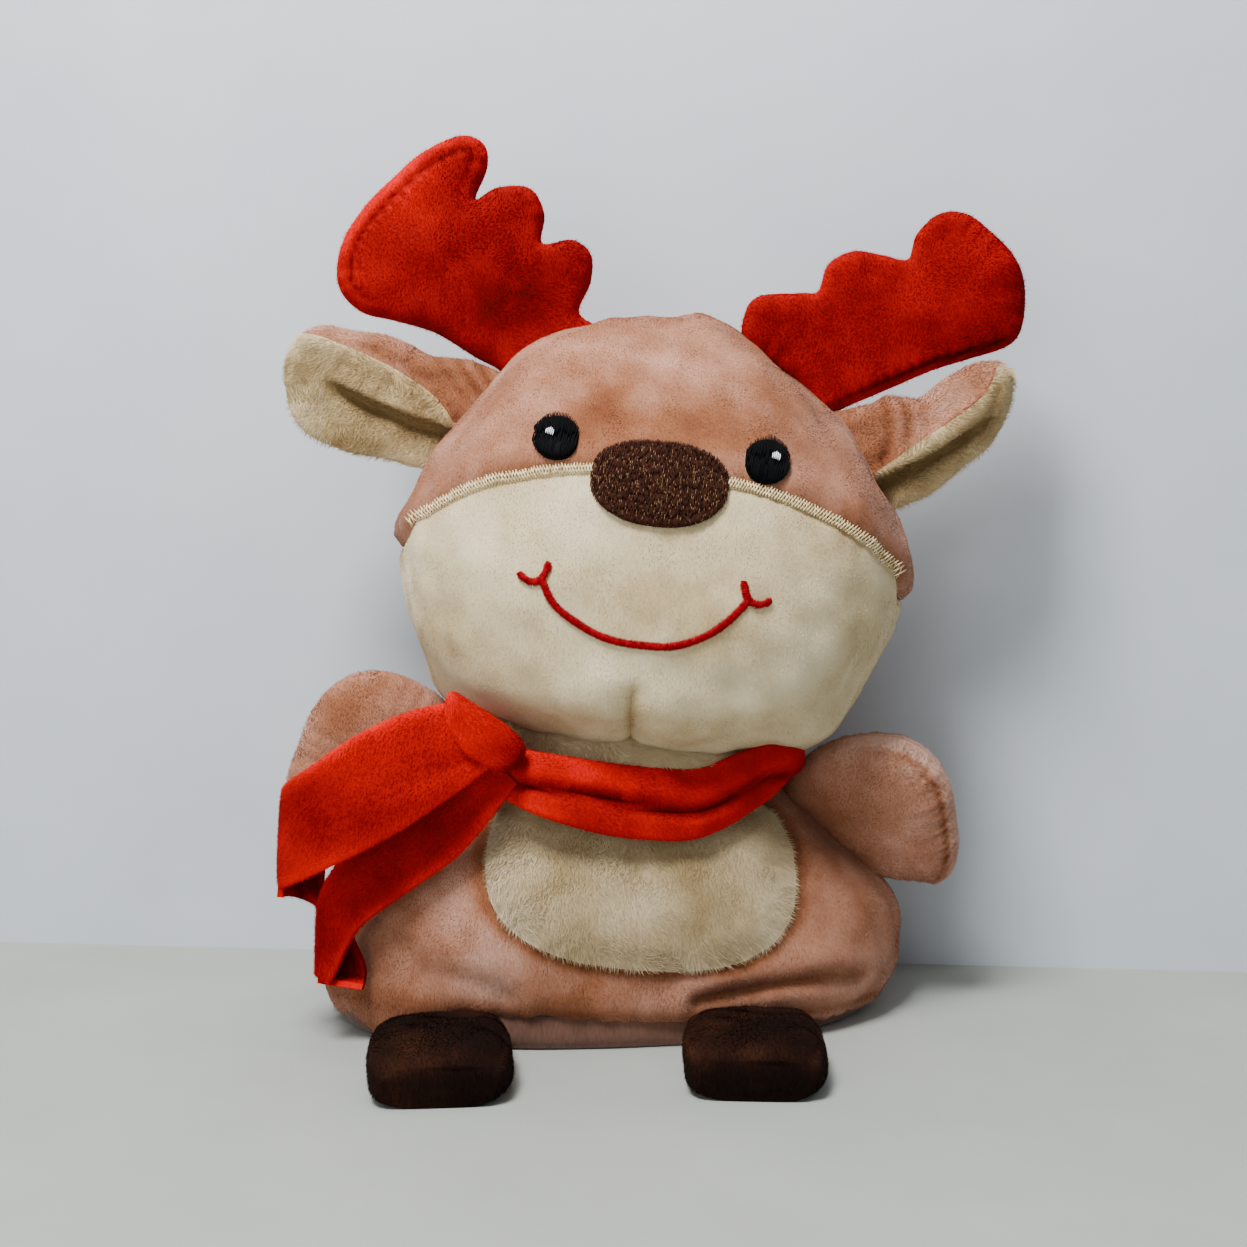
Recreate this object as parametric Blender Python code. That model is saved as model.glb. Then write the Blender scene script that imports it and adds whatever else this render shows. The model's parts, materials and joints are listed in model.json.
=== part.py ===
"""A sitting plush deer, about 25 cm from its flat base to its antler tips.

Lengths are metres and +Z is up. The deer faces -Y, so its own left is +X. The origin is the middle of
the flat base that it sits on. It is modelled as it sits in its photograph: everything above the base
leans a little to its left, and its head looks a little to its right.
"""

import math

import bmesh
import bpy
import numpy as np
from mathutils import Matrix, Vector

# Cloth and the room between sewn pieces
FABRIC = 0.0012
GAP = 0.0003
SEAM_CLEARANCE = 0.0008
FILLING_CLEARANCE = 0.0012
FILLING_INSET = FABRIC + FILLING_CLEARANCE
PATCH_CLEARANCE = 0.0006
PILLOW_CLEARANCE = 0.0011
STITCH_WIDTH = 0.0024
STITCH_HEIGHT = 0.0006
STITCH_SHOULDER_SHARE = 0.6
STITCH_CROWN_SHARE = 0.8

# Pose
LEAN = math.radians(6.0)
LEAN_HEIGHT = 0.025
HEAD_LOOK = math.radians(-8.0)

# Torso: its widest section is 1 in the shares of width and depth
TORSO_HEIGHT = 0.072
TORSO_WIDTH = 0.169
TORSO_FRONT = 0.045
TORSO_BACK = 0.0435
TORSO_SQUARENESS = 2.3
TORSO_SEAM_TURN = math.radians(6.0)
TORSO_SECTION_SHARES = [
    (0.125, 0.92, 0.92, 0.94),
    (0.21, 0.975, 0.975, 0.985),
    (0.32, 1.0, 1.0, 1.0),
    (0.44, 0.985, 0.985, 0.985),
    (0.56, 0.935, 0.94, 0.94),
    (0.68, 0.825, 0.86, 0.865),
    (0.80, 0.70, 0.765, 0.775),
    (0.90, 0.585, 0.67, 0.69),
    (0.96, 0.51, 0.60, 0.63),
    (1.0, 0.45, 0.55, 0.58),
]

# Base under the torso, and the bag of pellets that weighs it down
BASE_WIDTH = 0.150
BASE_DEPTH = 0.0815
BASE_BULGE = 0.0006
BASE_CORNER = 0.0018
BASE_MIDDLE_SHARE = 0.5
PELLET_BAG_HEIGHT = 0.0125
PELLET_BAG_CROWN = 0.0025
PELLET_BAG_CLEARANCE = 0.0006
PELLET_CROWN_SHARES = [(0.8, 0.5), (0.4, 1.0)]

# Neck, a column of filling inside the neck seam
NECK_WIDTH = 0.052
NECK_DEPTH = 0.034
NECK_Y = -0.004
NECK_TOP = 0.075
NECK_NOD = math.radians(8.0)
NECK_CROWN_SHARES = [(1.0, 1.0), (0.5, 0.5), (0.1, 0.125)]

# Head, in its own frame above the neck's top
HEAD_HEIGHT = 0.1223
HEAD_WIDTH = 0.1436
HEAD_FRONT = 0.0525
HEAD_BACK = 0.046
HEAD_SQUARENESS = 2.3
HEAD_CORE_SHARE = 0.97
HEAD_SECTION_SHARES = [
    (0.0, 0.47, 0.49, 0.56),
    (0.04, 0.64, 0.68, 0.74),
    (0.13, 0.84, 0.885, 0.90),
    (0.27, 0.965, 0.99, 0.985),
    (0.44, 1.0, 1.0, 1.0),
    (0.60, 0.923, 0.943, 0.957),
    (0.69, 0.82, 0.876, 0.89),
    (0.77, 0.703, 0.77, 0.79),
    (0.845, 0.585, 0.648, 0.675),
    (0.91, 0.452, 0.505, 0.533),
    (0.96, 0.31, 0.35, 0.38),
    (0.99, 0.165, 0.19, 0.21),
    (1.0, 0.05, 0.06, 0.07),
]

# Face, sewn and embroidered on the head's front
MUZZLE_PEAK = 0.0785
MUZZLE_DROP = 0.0245
MUZZLE_ROUNDNESS = 2.5
EYE_DIAMETER = 0.012
EYE_THICKNESS = 0.0012
EYE_SPACING = 0.0548
EYE_HEIGHT = 0.0845
GLINT_DIAMETER = 0.0028
GLINT_THICKNESS = 0.0004
GLINT_OUT = 0.0018
GLINT_UP = 0.0010
NOSE_WIDTH = 0.035
NOSE_HEIGHT = 0.0215
NOSE_THICKNESS = 0.0016
NOSE_Z = 0.0753
NOSE_SQUARENESS = 2.2
NOSE_STEPS = 24
EYE_STEPS = 18
TRIM_END_SHARE = 0.97
TRIM_EDGE_SHARE = 0.985
SMILE_WIDTH = 0.054
SMILE_BOTTOM = 0.0328
SMILE_RISE = 0.0138
TICK_OUT = 0.0062
TICK_IN = 0.0018
TICK_UP = 0.0056

# Belly patch on the torso's front
PATCH_WIDTH = 0.084
PATCH_BOTTOM = 0.0232
PATCH_TOP = 0.0655
PATCH_X = 0.002
PATCH_SQUARENESS = 2.5
PATCH_DROP_SHARE = 1.15
PATCH_EDGE_SHARE = 0.5
PATCH_FULLNESS = 4
PATCH_STEPS = 28

# Arms: a flat sewn paddle on each shoulder. Along and out are measured from the root seam's upper end
ARM_LENGTH = 0.052
ARM_REACH = 0.039
ARM_PUFF = 0.0085
ARM_ROOT_X = 0.044
ARM_ROOT_Z = 0.070
ARM_SLOPE = math.radians(39.5)
ARM_SEAM_Y = -0.0045
LEFT_ARM_SWING = math.radians(30.0)
RIGHT_ARM_SWING = math.radians(4.0)
ARM_ROOT_SHARES = (0.71, 0.55, 0.365, 0.18, 0.02)
ARM_OUTLINE_SHARES = [
    (-0.03, 0.24),
    (-0.01, 0.52),
    (0.10, 0.80),
    (0.24, 0.96),
    (0.41, 1.0),
    (0.58, 0.94),
    (0.74, 0.80),
    (0.88, 0.66),
    (0.97, 0.51),
    (0.99, 0.36),
    (0.90, 0.22),
    (0.80, 0.08),
]

# Feet, hinged at their upper back edge
FOOT_WIDTH = 0.035
FOOT_LENGTH = 0.040
FOOT_HEIGHT = 0.0145
FOOT_SQUARENESS = 4.0
FOOT_FILLING_CLEARANCE = 0.0003
FOOT_SEAT_CLEARANCE = 0.0005
LEFT_FOOT_X = 0.0355
RIGHT_FOOT_X = -0.0470
LEFT_FOOT_TURN = math.radians(-9.0)
RIGHT_FOOT_TURN = math.radians(-1.0)
FOOT_SECTION_SHARES = [
    (0.0, 0.90, 0.76),
    (0.15, 0.96, 0.84),
    (0.40, 1.0, 0.96),
    (0.70, 1.0, 1.0),
    (0.88, 0.96, 0.95),
    (0.96, 0.88, 0.84),
    (1.0, 0.74, 0.66),
]

# Antlers: flat padded pieces in the head's side seam
ANTLER_SPAN = 0.064
ANTLER_REACH = 0.067
ANTLER_PUFF = 0.0022
ANTLER_X = 0.031
ANTLER_Z = 0.1085
LEFT_ANTLER_TURN = math.radians(31.3)
RIGHT_ANTLER_TURN = math.radians(35.5)
ANTLER_CENTRE_SHARES = (0.25, 0.59)
ANTLER_ROOT_SHARES = (0.225, 0.1125, 0.0, -0.1125, -0.225)
LEFT_ANTLER_SHARES = [
    (-0.30, 0.09),
    (-0.31, 0.20),
    (-0.17, 0.32),
    (-0.115, 0.37),
    (-0.15, 0.48),
    (-0.10, 0.585),
    (0.01, 0.645),
    (0.11, 0.695),
    (0.075, 0.80),
    (0.10, 0.92),
    (0.19, 0.985),
    (0.31, 0.99),
    (0.46, 0.97),
    (0.58, 0.90),
    (0.68, 0.76),
    (0.68, 0.66),
    (0.58, 0.52),
    (0.49, 0.40),
    (0.40, 0.25),
    (0.31, 0.10),
]
RIGHT_ANTLER_SHARES = [
    (-0.15, 0.12),
    (-0.26, 0.21),
    (-0.32, 0.31),
    (-0.28, 0.40),
    (-0.16, 0.45),
    (-0.23, 0.55),
    (-0.23, 0.67),
    (-0.11, 0.74),
    (0.0, 0.745),
    (-0.11, 0.83),
    (-0.15, 0.92),
    (-0.08, 1.0),
    (0.10, 1.02),
    (0.27, 0.99),
    (0.43, 0.95),
    (0.58, 0.88),
    (0.68, 0.78),
    (0.71, 0.68),
    (0.67, 0.57),
    (0.57, 0.48),
    (0.44, 0.35),
    (0.34, 0.18),
    (0.285, 0.10),
]

# Ears: two layers of cloth. The upper part folds forward over the lining, less and less towards the tip
EAR_LENGTH = 0.050
EAR_FLAP = 0.0190
EAR_FOLD_RADIUS = 0.0032
EAR_FOLD = math.radians(168.0)
LEFT_EAR_ROOT = (0.0570, 0.0890)
RIGHT_EAR_ROOT = (0.0581, 0.0883)
# The lower edge and the crest, out and up from the root's middle in shares of the length, at even steps
# from root to tip, with the shares of the flap's width and of its fold there
LEFT_EAR_SHARES = [
    (0.20, -0.26, -0.17, 0.25, 1.0, 1.0),
    (0.37, -0.15, 0.06, 0.32, 1.0, 0.97),
    (0.53, 0.01, 0.27, 0.41, 0.9, 0.9),
    (0.65, 0.14, 0.45, 0.53, 0.7, 0.75),
    (0.72, 0.30, 0.59, 0.585, 0.35, 0.5),
    (0.74, 0.44, 0.69, 0.575, 0.1, 0.2),
]
RIGHT_EAR_SHARES = [
    (0.18, -0.30, -0.15, 0.27, 1.0, 1.0),
    (0.35, -0.27, 0.07, 0.33, 1.0, 0.97),
    (0.55, -0.25, 0.30, 0.39, 0.85, 0.9),
    (0.78, -0.19, 0.56, 0.43, 0.6, 0.7),
    (0.92, -0.07, 0.78, 0.43, 0.3, 0.45),
    (0.98, 0.10, 0.93, 0.30, 0.1, 0.2),
]

# Scarf: a band round the neck, the fold that crosses it, and its two tails
SCARF_WIDTH = 0.0178
SCARF_THICKNESS = 0.0056
SCARF_HALF_WIDTH = 0.0421
SCARF_FRONT = 0.0395
SCARF_BACK = 0.0330
SCARF_Z = 0.0742
SCARF_SAG = 0.0067
SCARF_SIDE_SHARE = 0.27
SCARF_TILT = math.radians(16.0)
SCARF_SQUARENESS = 3.0
SCARF_NARROWING = 1.5
SCARF_KNOT_BULGE = 0.0092
SCARF_KNOT_TURN = math.radians(-132.0)
SCARF_KNOT_NARROWNESS = 8
WRAP_Y = -0.0440
WRAP_DROP = 0.0042
WRAP_WIDTH = 0.0100
WRAP_HEIGHT = 0.0235
WRAP_THICKNESS = 0.0110
WRAP_SQUARENESS = 2.6
WRAP_SECTION_SHARES = [(-1.0, 0.55), (-0.85, 0.86), (-0.4, 1.0), (0.4, 1.0), (0.85, 0.86), (1.0, 0.55)]
TAIL_THICKNESS = 0.0028
TAIL_SQUARENESS = 4.0
UPPER_TAIL_LENGTH = 0.062
LOWER_TAIL_LENGTH = 0.066
UPPER_TAIL_START = (-0.0500, -0.0460, 0.0825)
LOWER_TAIL_START = (-0.0422, -0.0405, 0.0592)
# Shares of the tail's length to its left, to its back and up from its start: the upper edge, then the
# lower edge, at even steps from root to end
UPPER_TAIL_SHARES = [
    (-0.056, 0.0, 0.15, 0.11, 0.0, -0.115),
    (-0.22, -0.01, 0.06, -0.05, -0.03, -0.30),
    (-0.43, 0.0, -0.06, -0.25, -0.02, -0.46),
    (-0.61, 0.07, -0.22, -0.45, 0.03, -0.60),
    (-0.71, 0.22, -0.33, -0.67, 0.15, -0.75),
    (-0.69, 0.38, -0.38, -0.69, 0.31, -0.78),
]
LOWER_TAIL_SHARES = [
    (-0.02, 0.02, 0.16, 0.10, 0.0, 0.04),
    (-0.22, 0.03, 0.09, -0.06, 0.0, -0.13),
    (-0.40, 0.07, -0.06, -0.24, 0.02, -0.30),
    (-0.55, 0.14, -0.25, -0.37, 0.06, -0.42),
    (-0.62, 0.18, -0.44, -0.43, 0.10, -0.52),
    (-0.59, 0.19, -0.70, -0.43, 0.12, -0.71),
]

# Flat sewn pieces: their front and back panels bulge apart over the padding
PILLOW_ROUNDNESS = 2.2
PILLOW_FULLNESS = 0.6

# Mesh steps
ROUND_STEPS = 26
HEAD_ROWS = 14
HEAD_COLUMNS = 18
RIM_STEPS = 10
BAND_STEPS = 32
TAIL_STEPS = 12
EAR_ROWS = 10
EAR_LOWER_STEPS = 4
EAR_ARC_STEPS = 5
EAR_FLAP_STEPS = 3
TRIM_STEPS = 14
SMILE_STEPS = 20
FRONT_COLUMNS = 16
BACK_COLUMNS = 7
TORSO_ROWS = 8
MUZZLE_ROWS = 6
FACE_ROWS = 7
ARM_STEPS = 24
ANTLER_STEPS = 38
FOOT_STEPS = 20
PATCH_RING_SHARES = (1.0, 0.8, 0.6, 0.4, 0.2)
NOSE_RING_SHARES = (1.0, 0.7, 0.35)
EYE_RING_SHARES = (1.0, 0.5)
PILLOW_RING_SHARES = (1.0, 0.86, 0.5)
PILLOW_FILLING_SHARES = (0.75, 0.4)
SMOOTH_ANGLE = math.radians(50.0)
PROBE = 1e-3
BISECTIONS = 30

COLOURS = {
    "tan_plush": ((0.50, 0.26, 0.17), 0.9),
    "cream_plush": ((0.58, 0.49, 0.35), 0.9),
    "brown_plush": ((0.05, 0.025, 0.015), 0.9),
    "red_plush": ((0.60, 0.01, 0.008), 0.85),
    "base_cloth": ((0.24, 0.12, 0.08), 0.8),
    "gold_thread": ((0.62, 0.47, 0.24), 0.5),
    "brown_thread": ((0.09, 0.035, 0.02), 0.6),
    "red_thread": ((0.50, 0.0, 0.015), 0.5),
    "black_thread": ((0.008, 0.008, 0.01), 0.5),
    "white_thread": ((0.8, 0.82, 0.85), 0.5),
    "fibre_filling": ((0.85, 0.84, 0.80), 1.0),
    "pellet_cloth": ((0.70, 0.68, 0.62), 0.9),
}
LEFT, RIGHT = 1, -1
SIDE_NAMES = {LEFT: "left", RIGHT: "right"}


def material_named(name):
    """The plain finish of one kind of cloth, thread or filling."""
    if name in bpy.data.materials:
        return bpy.data.materials[name]
    colour, roughness = COLOURS[name]
    material = bpy.data.materials.new(name)
    material.use_nodes = True
    shader = material.node_tree.nodes["Principled BSDF"]
    shader.inputs["Base Color"].default_value = (*colour, 1.0)
    shader.inputs["Roughness"].default_value = roughness
    shader.inputs["Metallic"].default_value = 0.0
    return material


def frame_empty(name, parent=None, place=(0, 0, 0), turns=()):
    """An empty on a joint's axis or at a group's frame. turns are (angle, axis) pairs, outermost first."""
    empty = bpy.data.objects.new(name, None)
    bpy.context.scene.collection.objects.link(empty)
    matrix = Matrix.Translation(place)
    for angle, axis in turns:
        matrix = matrix @ Matrix.Rotation(angle, 4, axis)
    empty.parent = parent
    empty.matrix_local = matrix
    return empty


def piece(name, vertices, faces, material, parent=None):
    """One closed solid as a named object, with its faces pointing out."""
    mesh = bpy.data.meshes.new(name)
    mesh.from_pydata([tuple(v) for v in vertices], [], faces)
    edit = bmesh.new()
    edit.from_mesh(mesh)
    bmesh.ops.recalc_face_normals(edit, faces=edit.faces)
    edit.to_mesh(mesh)
    edit.free()
    mesh.shade_smooth()
    mesh.set_sharp_from_angle(angle=SMOOTH_ANGLE)
    mesh.materials.append(material_named(material))
    obj = bpy.data.objects.new(name, mesh)
    bpy.context.scene.collection.objects.link(obj)
    obj.parent = parent
    return obj


def on_curve(rows, share):
    """The row at a share of the way along rows of numbers, on a smooth curve through them all."""
    place = min(max(share, 0.0), 1.0) * (len(rows) - 1)
    index = min(int(place), len(rows) - 2)
    t = place - index
    picked = [rows[min(max(index + step, 0), len(rows) - 1)] for step in (-1, 0, 1, 2)]
    before, start, end, after = (np.array(row, float) for row in picked)
    bend = 2 * before - 5 * start + 4 * end - after
    twist = 3 * start - before - 3 * end + after
    return start + 0.5 * ((end - before) * t + bend * t * t + twist * t ** 3)


def closed_curve(points, steps):
    """Points at even steps along a smooth closed curve through the given ones."""
    count = len(points)
    ring = [points[i % count] for i in range(-1, count + 2)]
    return [on_curve(ring, (1 + count * i / steps) / (count + 2)) for i in range(steps)]


def powered(value, squareness):
    return math.copysign(abs(value) ** (2 / squareness), value)


class StuffedForm:
    """A stack of rounded level sections that swell and taper: the cloth surface of the torso or the head."""

    def __init__(self, shares, height, width, front, back, squareness, bend=None):
        self.shares = shares
        self.height = height
        self.width = width
        self.front = front
        self.back = back
        self.squareness = squareness
        self.bend = bend or (lambda point: point)

    def on_cloth(self, share, angle):
        """The point at a share of the way up and at an angle from +X, counter-clockwise from above."""
        z, width, front, back = on_curve(self.shares, share)
        side = math.sin(angle)
        depth = self.front * front if side < 0 else self.back * back
        x = self.width / 2 * width * powered(math.cos(angle), self.squareness)
        y = depth * powered(side, self.squareness)
        return self.bend(Vector((x, y, self.height * z)))

    def outward(self, share, angle):
        across = self.on_cloth(share, angle + PROBE) - self.on_cloth(share, angle - PROBE)
        up = self.on_cloth(min(share + PROBE, 1), angle) - self.on_cloth(max(share - PROBE, 0), angle)
        return across.cross(up).normalized()

    def offset(self, share, angle, distance):
        return self.on_cloth(share, angle) + distance * self.outward(share, angle)

    def share_at_height(self, z):
        """How far up the sections a height is."""
        low, high = 0.0, 1.0
        for _ in range(BISECTIONS):
            middle = (low + high) / 2
            if on_curve(self.shares, middle)[0] * self.height < z:
                low = middle
            else:
                high = middle
        return (low + high) / 2

    def half_width(self, z):
        return on_curve(self.shares, self.share_at_height(z))[1] * self.width / 2

    def on_front(self, x, z):
        """The front surface point straight behind a place on the front view, and the direction out of it."""
        share = self.share_at_height(z)
        ratio = min(abs(x) / self.half_width(z), 1.0)
        across = math.copysign(ratio ** (self.squareness / 2), x)
        angle = -math.acos(across)
        return self.on_cloth(share, angle), self.outward(share, angle)


def lean_over(point):
    """Leans a point with the torso, gently at the base and fully above it."""
    share = min(max(point.z / LEAN_HEIGHT, 0.0), 1.0)
    return Matrix.Rotation(LEAN * share * share * (3 - 2 * share), 3, "Y") @ point


def grid_faces(rows, columns, start=0, closed=False):
    """Quads over a grid of vertices, row by row."""
    faces = []
    for i in range(rows - 1):
        for j in range(columns if closed else columns - 1):
            k = (j + 1) % columns
            faces.append(
                (
                    start + i * columns + j,
                    start + i * columns + k,
                    start + (i + 1) * columns + k,
                    start + (i + 1) * columns + j,
                )
            )
    return faces


def sheet(name, outer, inner, material, parent=None):
    """A sheet of cloth between two grids of points with the same rows and columns."""
    rows, columns = len(outer), len(outer[0])
    vertices = [point for grid in (outer, inner) for row in grid for point in row]
    back = rows * columns
    faces = grid_faces(rows, columns) + grid_faces(rows, columns, back)
    rim = [j for j in range(columns)]
    rim += [i * columns + columns - 1 for i in range(1, rows)]
    rim += [(rows - 1) * columns + j for j in range(columns - 2, -1, -1)]
    rim += [i * columns for i in range(rows - 2, 0, -1)]
    for a, b in zip(rim, rim[1:] + rim[:1]):
        faces.append((a, b, back + b, back + a))
    return piece(name, vertices, faces, material, parent)


def stacked(name, rings, material, parent=None):
    """A closed solid through a stack of rings, with a middle point at each end."""
    columns = len(rings[0])
    vertices = [point for ring in rings for point in ring]
    faces = grid_faces(len(rings), columns, closed=True)
    for ring, start in ((rings[0], 0), (rings[-1], (len(rings) - 1) * columns)):
        middle = sum((Vector(point) for point in ring), Vector()) / columns
        faces += [(start + j, start + (j + 1) % columns, len(vertices)) for j in range(columns)]
        vertices.append(middle)
    return piece(name, vertices, faces, material, parent)


def cup(name, outer, inner, material, parent=None):
    """An open-mouthed cover: both walls run from the mouth's ring to a closed end."""
    columns = len(outer[0])
    vertices = [point for ring in outer + inner for point in ring]
    back = len(outer) * columns
    faces = grid_faces(len(outer), columns, closed=True)
    faces += grid_faces(len(inner), columns, back, closed=True)
    faces += [(j, (j + 1) % columns, back + (j + 1) % columns, back + j) for j in range(columns)]
    for rings, start in ((outer, 0), (inner, back)):
        middle = sum((Vector(point) for point in rings[-1]), Vector()) / columns
        last = start + (len(rings) - 1) * columns
        faces += [(last + j, last + (j + 1) % columns, len(vertices)) for j in range(columns)]
        vertices.append(middle)
    return piece(name, vertices, faces, material, parent)


def turns_of(steps):
    """The angles of even steps round a circle."""
    return [2 * math.pi * j / steps for j in range(steps)]


def shares_between(low, high, steps):
    return [low + (high - low) * i / steps for i in range(steps + 1)]


def form_core(name, form, low, high, rows, parent=None):
    """The filling of a stuffed form, inside its cloth."""
    angles = turns_of(ROUND_STEPS)
    rings = [[form.offset(s, a, -FILLING_INSET) for a in angles] for s in shares_between(low, high, rows)]
    return stacked(name, rings, "fibre_filling", parent)


def form_panel(name, form, angles, lows, highs, rows, material, parent=None):
    """A cloth panel of a stuffed form. Each angle has its own lowest and highest share."""
    outer, inner = [], []
    for i in range(rows + 1):
        shares = [low + (high - low) * i / rows for low, high in zip(lows, highs)]
        outer.append([form.on_cloth(s, a) for s, a in zip(shares, angles)])
        inner.append([form.offset(s, a, -FABRIC) for s, a in zip(shares, angles)])
    return sheet(name, outer, inner, material, parent)


def front_patch(name, form, outline, thickness, rings, material, parent=None, clearance=GAP):
    """A patch on a form's front, thickest in its middle. outline holds places on the front view."""
    count = len(outline)
    centre = sum((Vector(p) for p in outline), Vector((0, 0))) / count
    columns = range(count)
    grids = []
    for crowned in (True, False):
        grid = []
        for share in rings + (0.0,):
            row = []
            for j in columns if share else [0]:
                place = centre + (Vector(outline[j]) - centre) * share
                point, out = form.on_front(place.x, place.y)
                crown = 1 - (1 - PATCH_EDGE_SHARE) * share ** PATCH_FULLNESS
                lift = clearance + (thickness * crown if crowned else 0.0)
                row.append(point + out * lift)
            grid.append(row)
        grids.append(grid)
    vertices = [point for grid in grids for row in grid for point in row]
    back = len(rings) * count + 1
    faces = []
    for start in (0, back):
        faces += grid_faces(len(rings), count, start, closed=True)
        last = start + (len(rings) - 1) * count
        faces += [(last + j, last + (j + 1) % count, start + back - 1) for j in columns]
    faces += [(j, (j + 1) % count, back + (j + 1) % count, back + j) for j in columns]
    return piece(name, vertices, faces, material, parent)


def disc_outline(x, z, width, height, steps, squareness=2.0):
    """Places round an ellipse or a squarer oval on the front view."""
    return [
        (x + width / 2 * powered(math.cos(t), squareness), z + height / 2 * powered(math.sin(t), squareness))
        for t in turns_of(steps)
    ]


def stitch_line(name, form, places, material, parent=None):
    """A raised line of satin stitches along places on a form's front view."""
    on_form = [form.on_front(x, z) for x, z in places]
    rings = []
    for i, (point, out) in enumerate(on_form):
        ahead = on_form[min(i + 1, len(on_form) - 1)][0]
        behind = on_form[max(i - 1, 0)][0]
        side = (ahead - behind).cross(out).normalized() * STITCH_WIDTH / 2
        base = point + out * GAP
        top = out * STITCH_HEIGHT
        rings.append(
            [
                base - side,
                base - side * STITCH_SHOULDER_SHARE + top * STITCH_CROWN_SHARE,
                base + top,
                base + side * STITCH_SHOULDER_SHARE + top * STITCH_CROWN_SHARE,
                base + side,
            ]
        )
    return stacked(name, rings, material, parent)


def muzzle_top(x):
    """The height of the seam between the tan face and the cream muzzle."""
    return MUZZLE_PEAK - MUZZLE_DROP * abs(2 * x / HEAD_WIDTH) ** MUZZLE_ROUNDNESS


def muzzle_share(form, angle):
    """How far up the head's sections that seam runs at an angle."""
    low, high = 0.0, 1.0
    for _ in range(BISECTIONS):
        middle = (low + high) / 2
        point = form.on_cloth(middle, angle)
        if point.z < muzzle_top(point.x):
            low = middle
        else:
            high = middle
    return (low + high) / 2


def build_base():
    """The flat base: an open dish of cloth, with the pellet bag inside it."""
    base_top = TORSO_SECTION_SHARES[0][0] * TORSO_HEIGHT - GAP

    def ring(z, inset, share=1.0):
        half_width = (BASE_WIDTH / 2 - inset) * share
        half_depth = (BASE_DEPTH / 2 - inset) * share
        points = []
        for t in turns_of(ROUND_STEPS):
            x = half_width * powered(math.cos(t), TORSO_SQUARENESS)
            y = half_depth * powered(math.sin(t), TORSO_SQUARENESS)
            points.append(lean_over(Vector((x, y, z))))
        return points

    walls = []
    for inset, floor in ((0.0, 0.0), (FABRIC, FABRIC)):
        wall = [ring(base_top, inset), ring(base_top / 2, inset - BASE_BULGE), ring(BASE_CORNER, inset)]
        wall += [ring(floor, inset + BASE_CORNER), ring(floor, inset + BASE_CORNER, BASE_MIDDLE_SHARE)]
        walls.append(wall)
    cup("base_gusset", *walls, "base_cloth")
    inset = FABRIC + PELLET_BAG_CLEARANCE
    bottom = FABRIC + GAP
    side_top = PELLET_BAG_HEIGHT - PELLET_BAG_CROWN
    rings = [ring(bottom, inset + BASE_CORNER), ring(bottom + BASE_CORNER, inset + BASE_CORNER / 2)]
    rings += [ring(base_top, inset), ring(side_top, inset)]
    rings += [ring(side_top + PELLET_BAG_CROWN * rise, inset, share) for share, rise in PELLET_CROWN_SHARES]
    stacked("pellet_bag", rings, "pellet_cloth")


def build_torso(torso):
    """The torso's filling and its three cloth panels, with seams down the sides and the back."""
    low_filling = torso.share_at_height(PELLET_BAG_HEIGHT + FILLING_INSET)
    form_core("torso_stuffing", torso, low_filling, 1.0, TORSO_ROWS)
    seam = GAP / TORSO_WIDTH
    right_seam = math.pi + TORSO_SEAM_TURN
    left_seam = 2 * math.pi - TORSO_SEAM_TURN
    spans = {
        "torso_front_panel": (right_seam + seam, left_seam - seam, FRONT_COLUMNS),
        "torso_back_panel_left": (-TORSO_SEAM_TURN + seam, math.pi / 2 - seam, BACK_COLUMNS),
        "torso_back_panel_right": (math.pi / 2 + seam, right_seam - seam, BACK_COLUMNS),
    }
    for name, (start, end, columns) in spans.items():
        angles = shares_between(start, end, columns)
        count = len(angles)
        form_panel(name, torso, angles, [0.0] * count, [1.0] * count, TORSO_ROWS, "tan_plush")
    half = (PATCH_TOP - PATCH_BOTTOM) / 2 * PATCH_DROP_SHARE
    oval = disc_outline(PATCH_X, PATCH_BOTTOM + half, PATCH_WIDTH, 2 * half, PATCH_STEPS, PATCH_SQUARENESS)
    outline = [(x, min(z, PATCH_TOP)) for x, z in oval]
    rings = PATCH_RING_SHARES
    front_patch("belly_patch", torso, outline, FABRIC, rings, "cream_plush", clearance=PATCH_CLEARANCE)


def build_neck(torso, head, parent):
    """The filling in the neck. Its top falls away from the head's filling, so that the head can nod."""
    turns = turns_of(ROUND_STEPS)
    bottom = max(torso.offset(1.0, t, -FILLING_INSET).z for t in turns) + GAP - NECK_TOP
    top = min(head.offset(0.0, t, -FILLING_INSET).z for t in turns) - GAP
    fall = math.tan(NECK_NOD) * NECK_DEPTH / 2

    def ring(share, z):
        half_width, half_depth = NECK_WIDTH / 2 * share, NECK_DEPTH / 2 * share
        return [Vector((half_width * math.cos(t), half_depth * math.sin(t), z)) for t in turns]

    rings = [ring(1.0, bottom)] + [ring(share, top - fall * drop) for share, drop in NECK_CROWN_SHARES]
    stacked("neck_stuffing", rings, "fibre_filling", parent)


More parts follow.
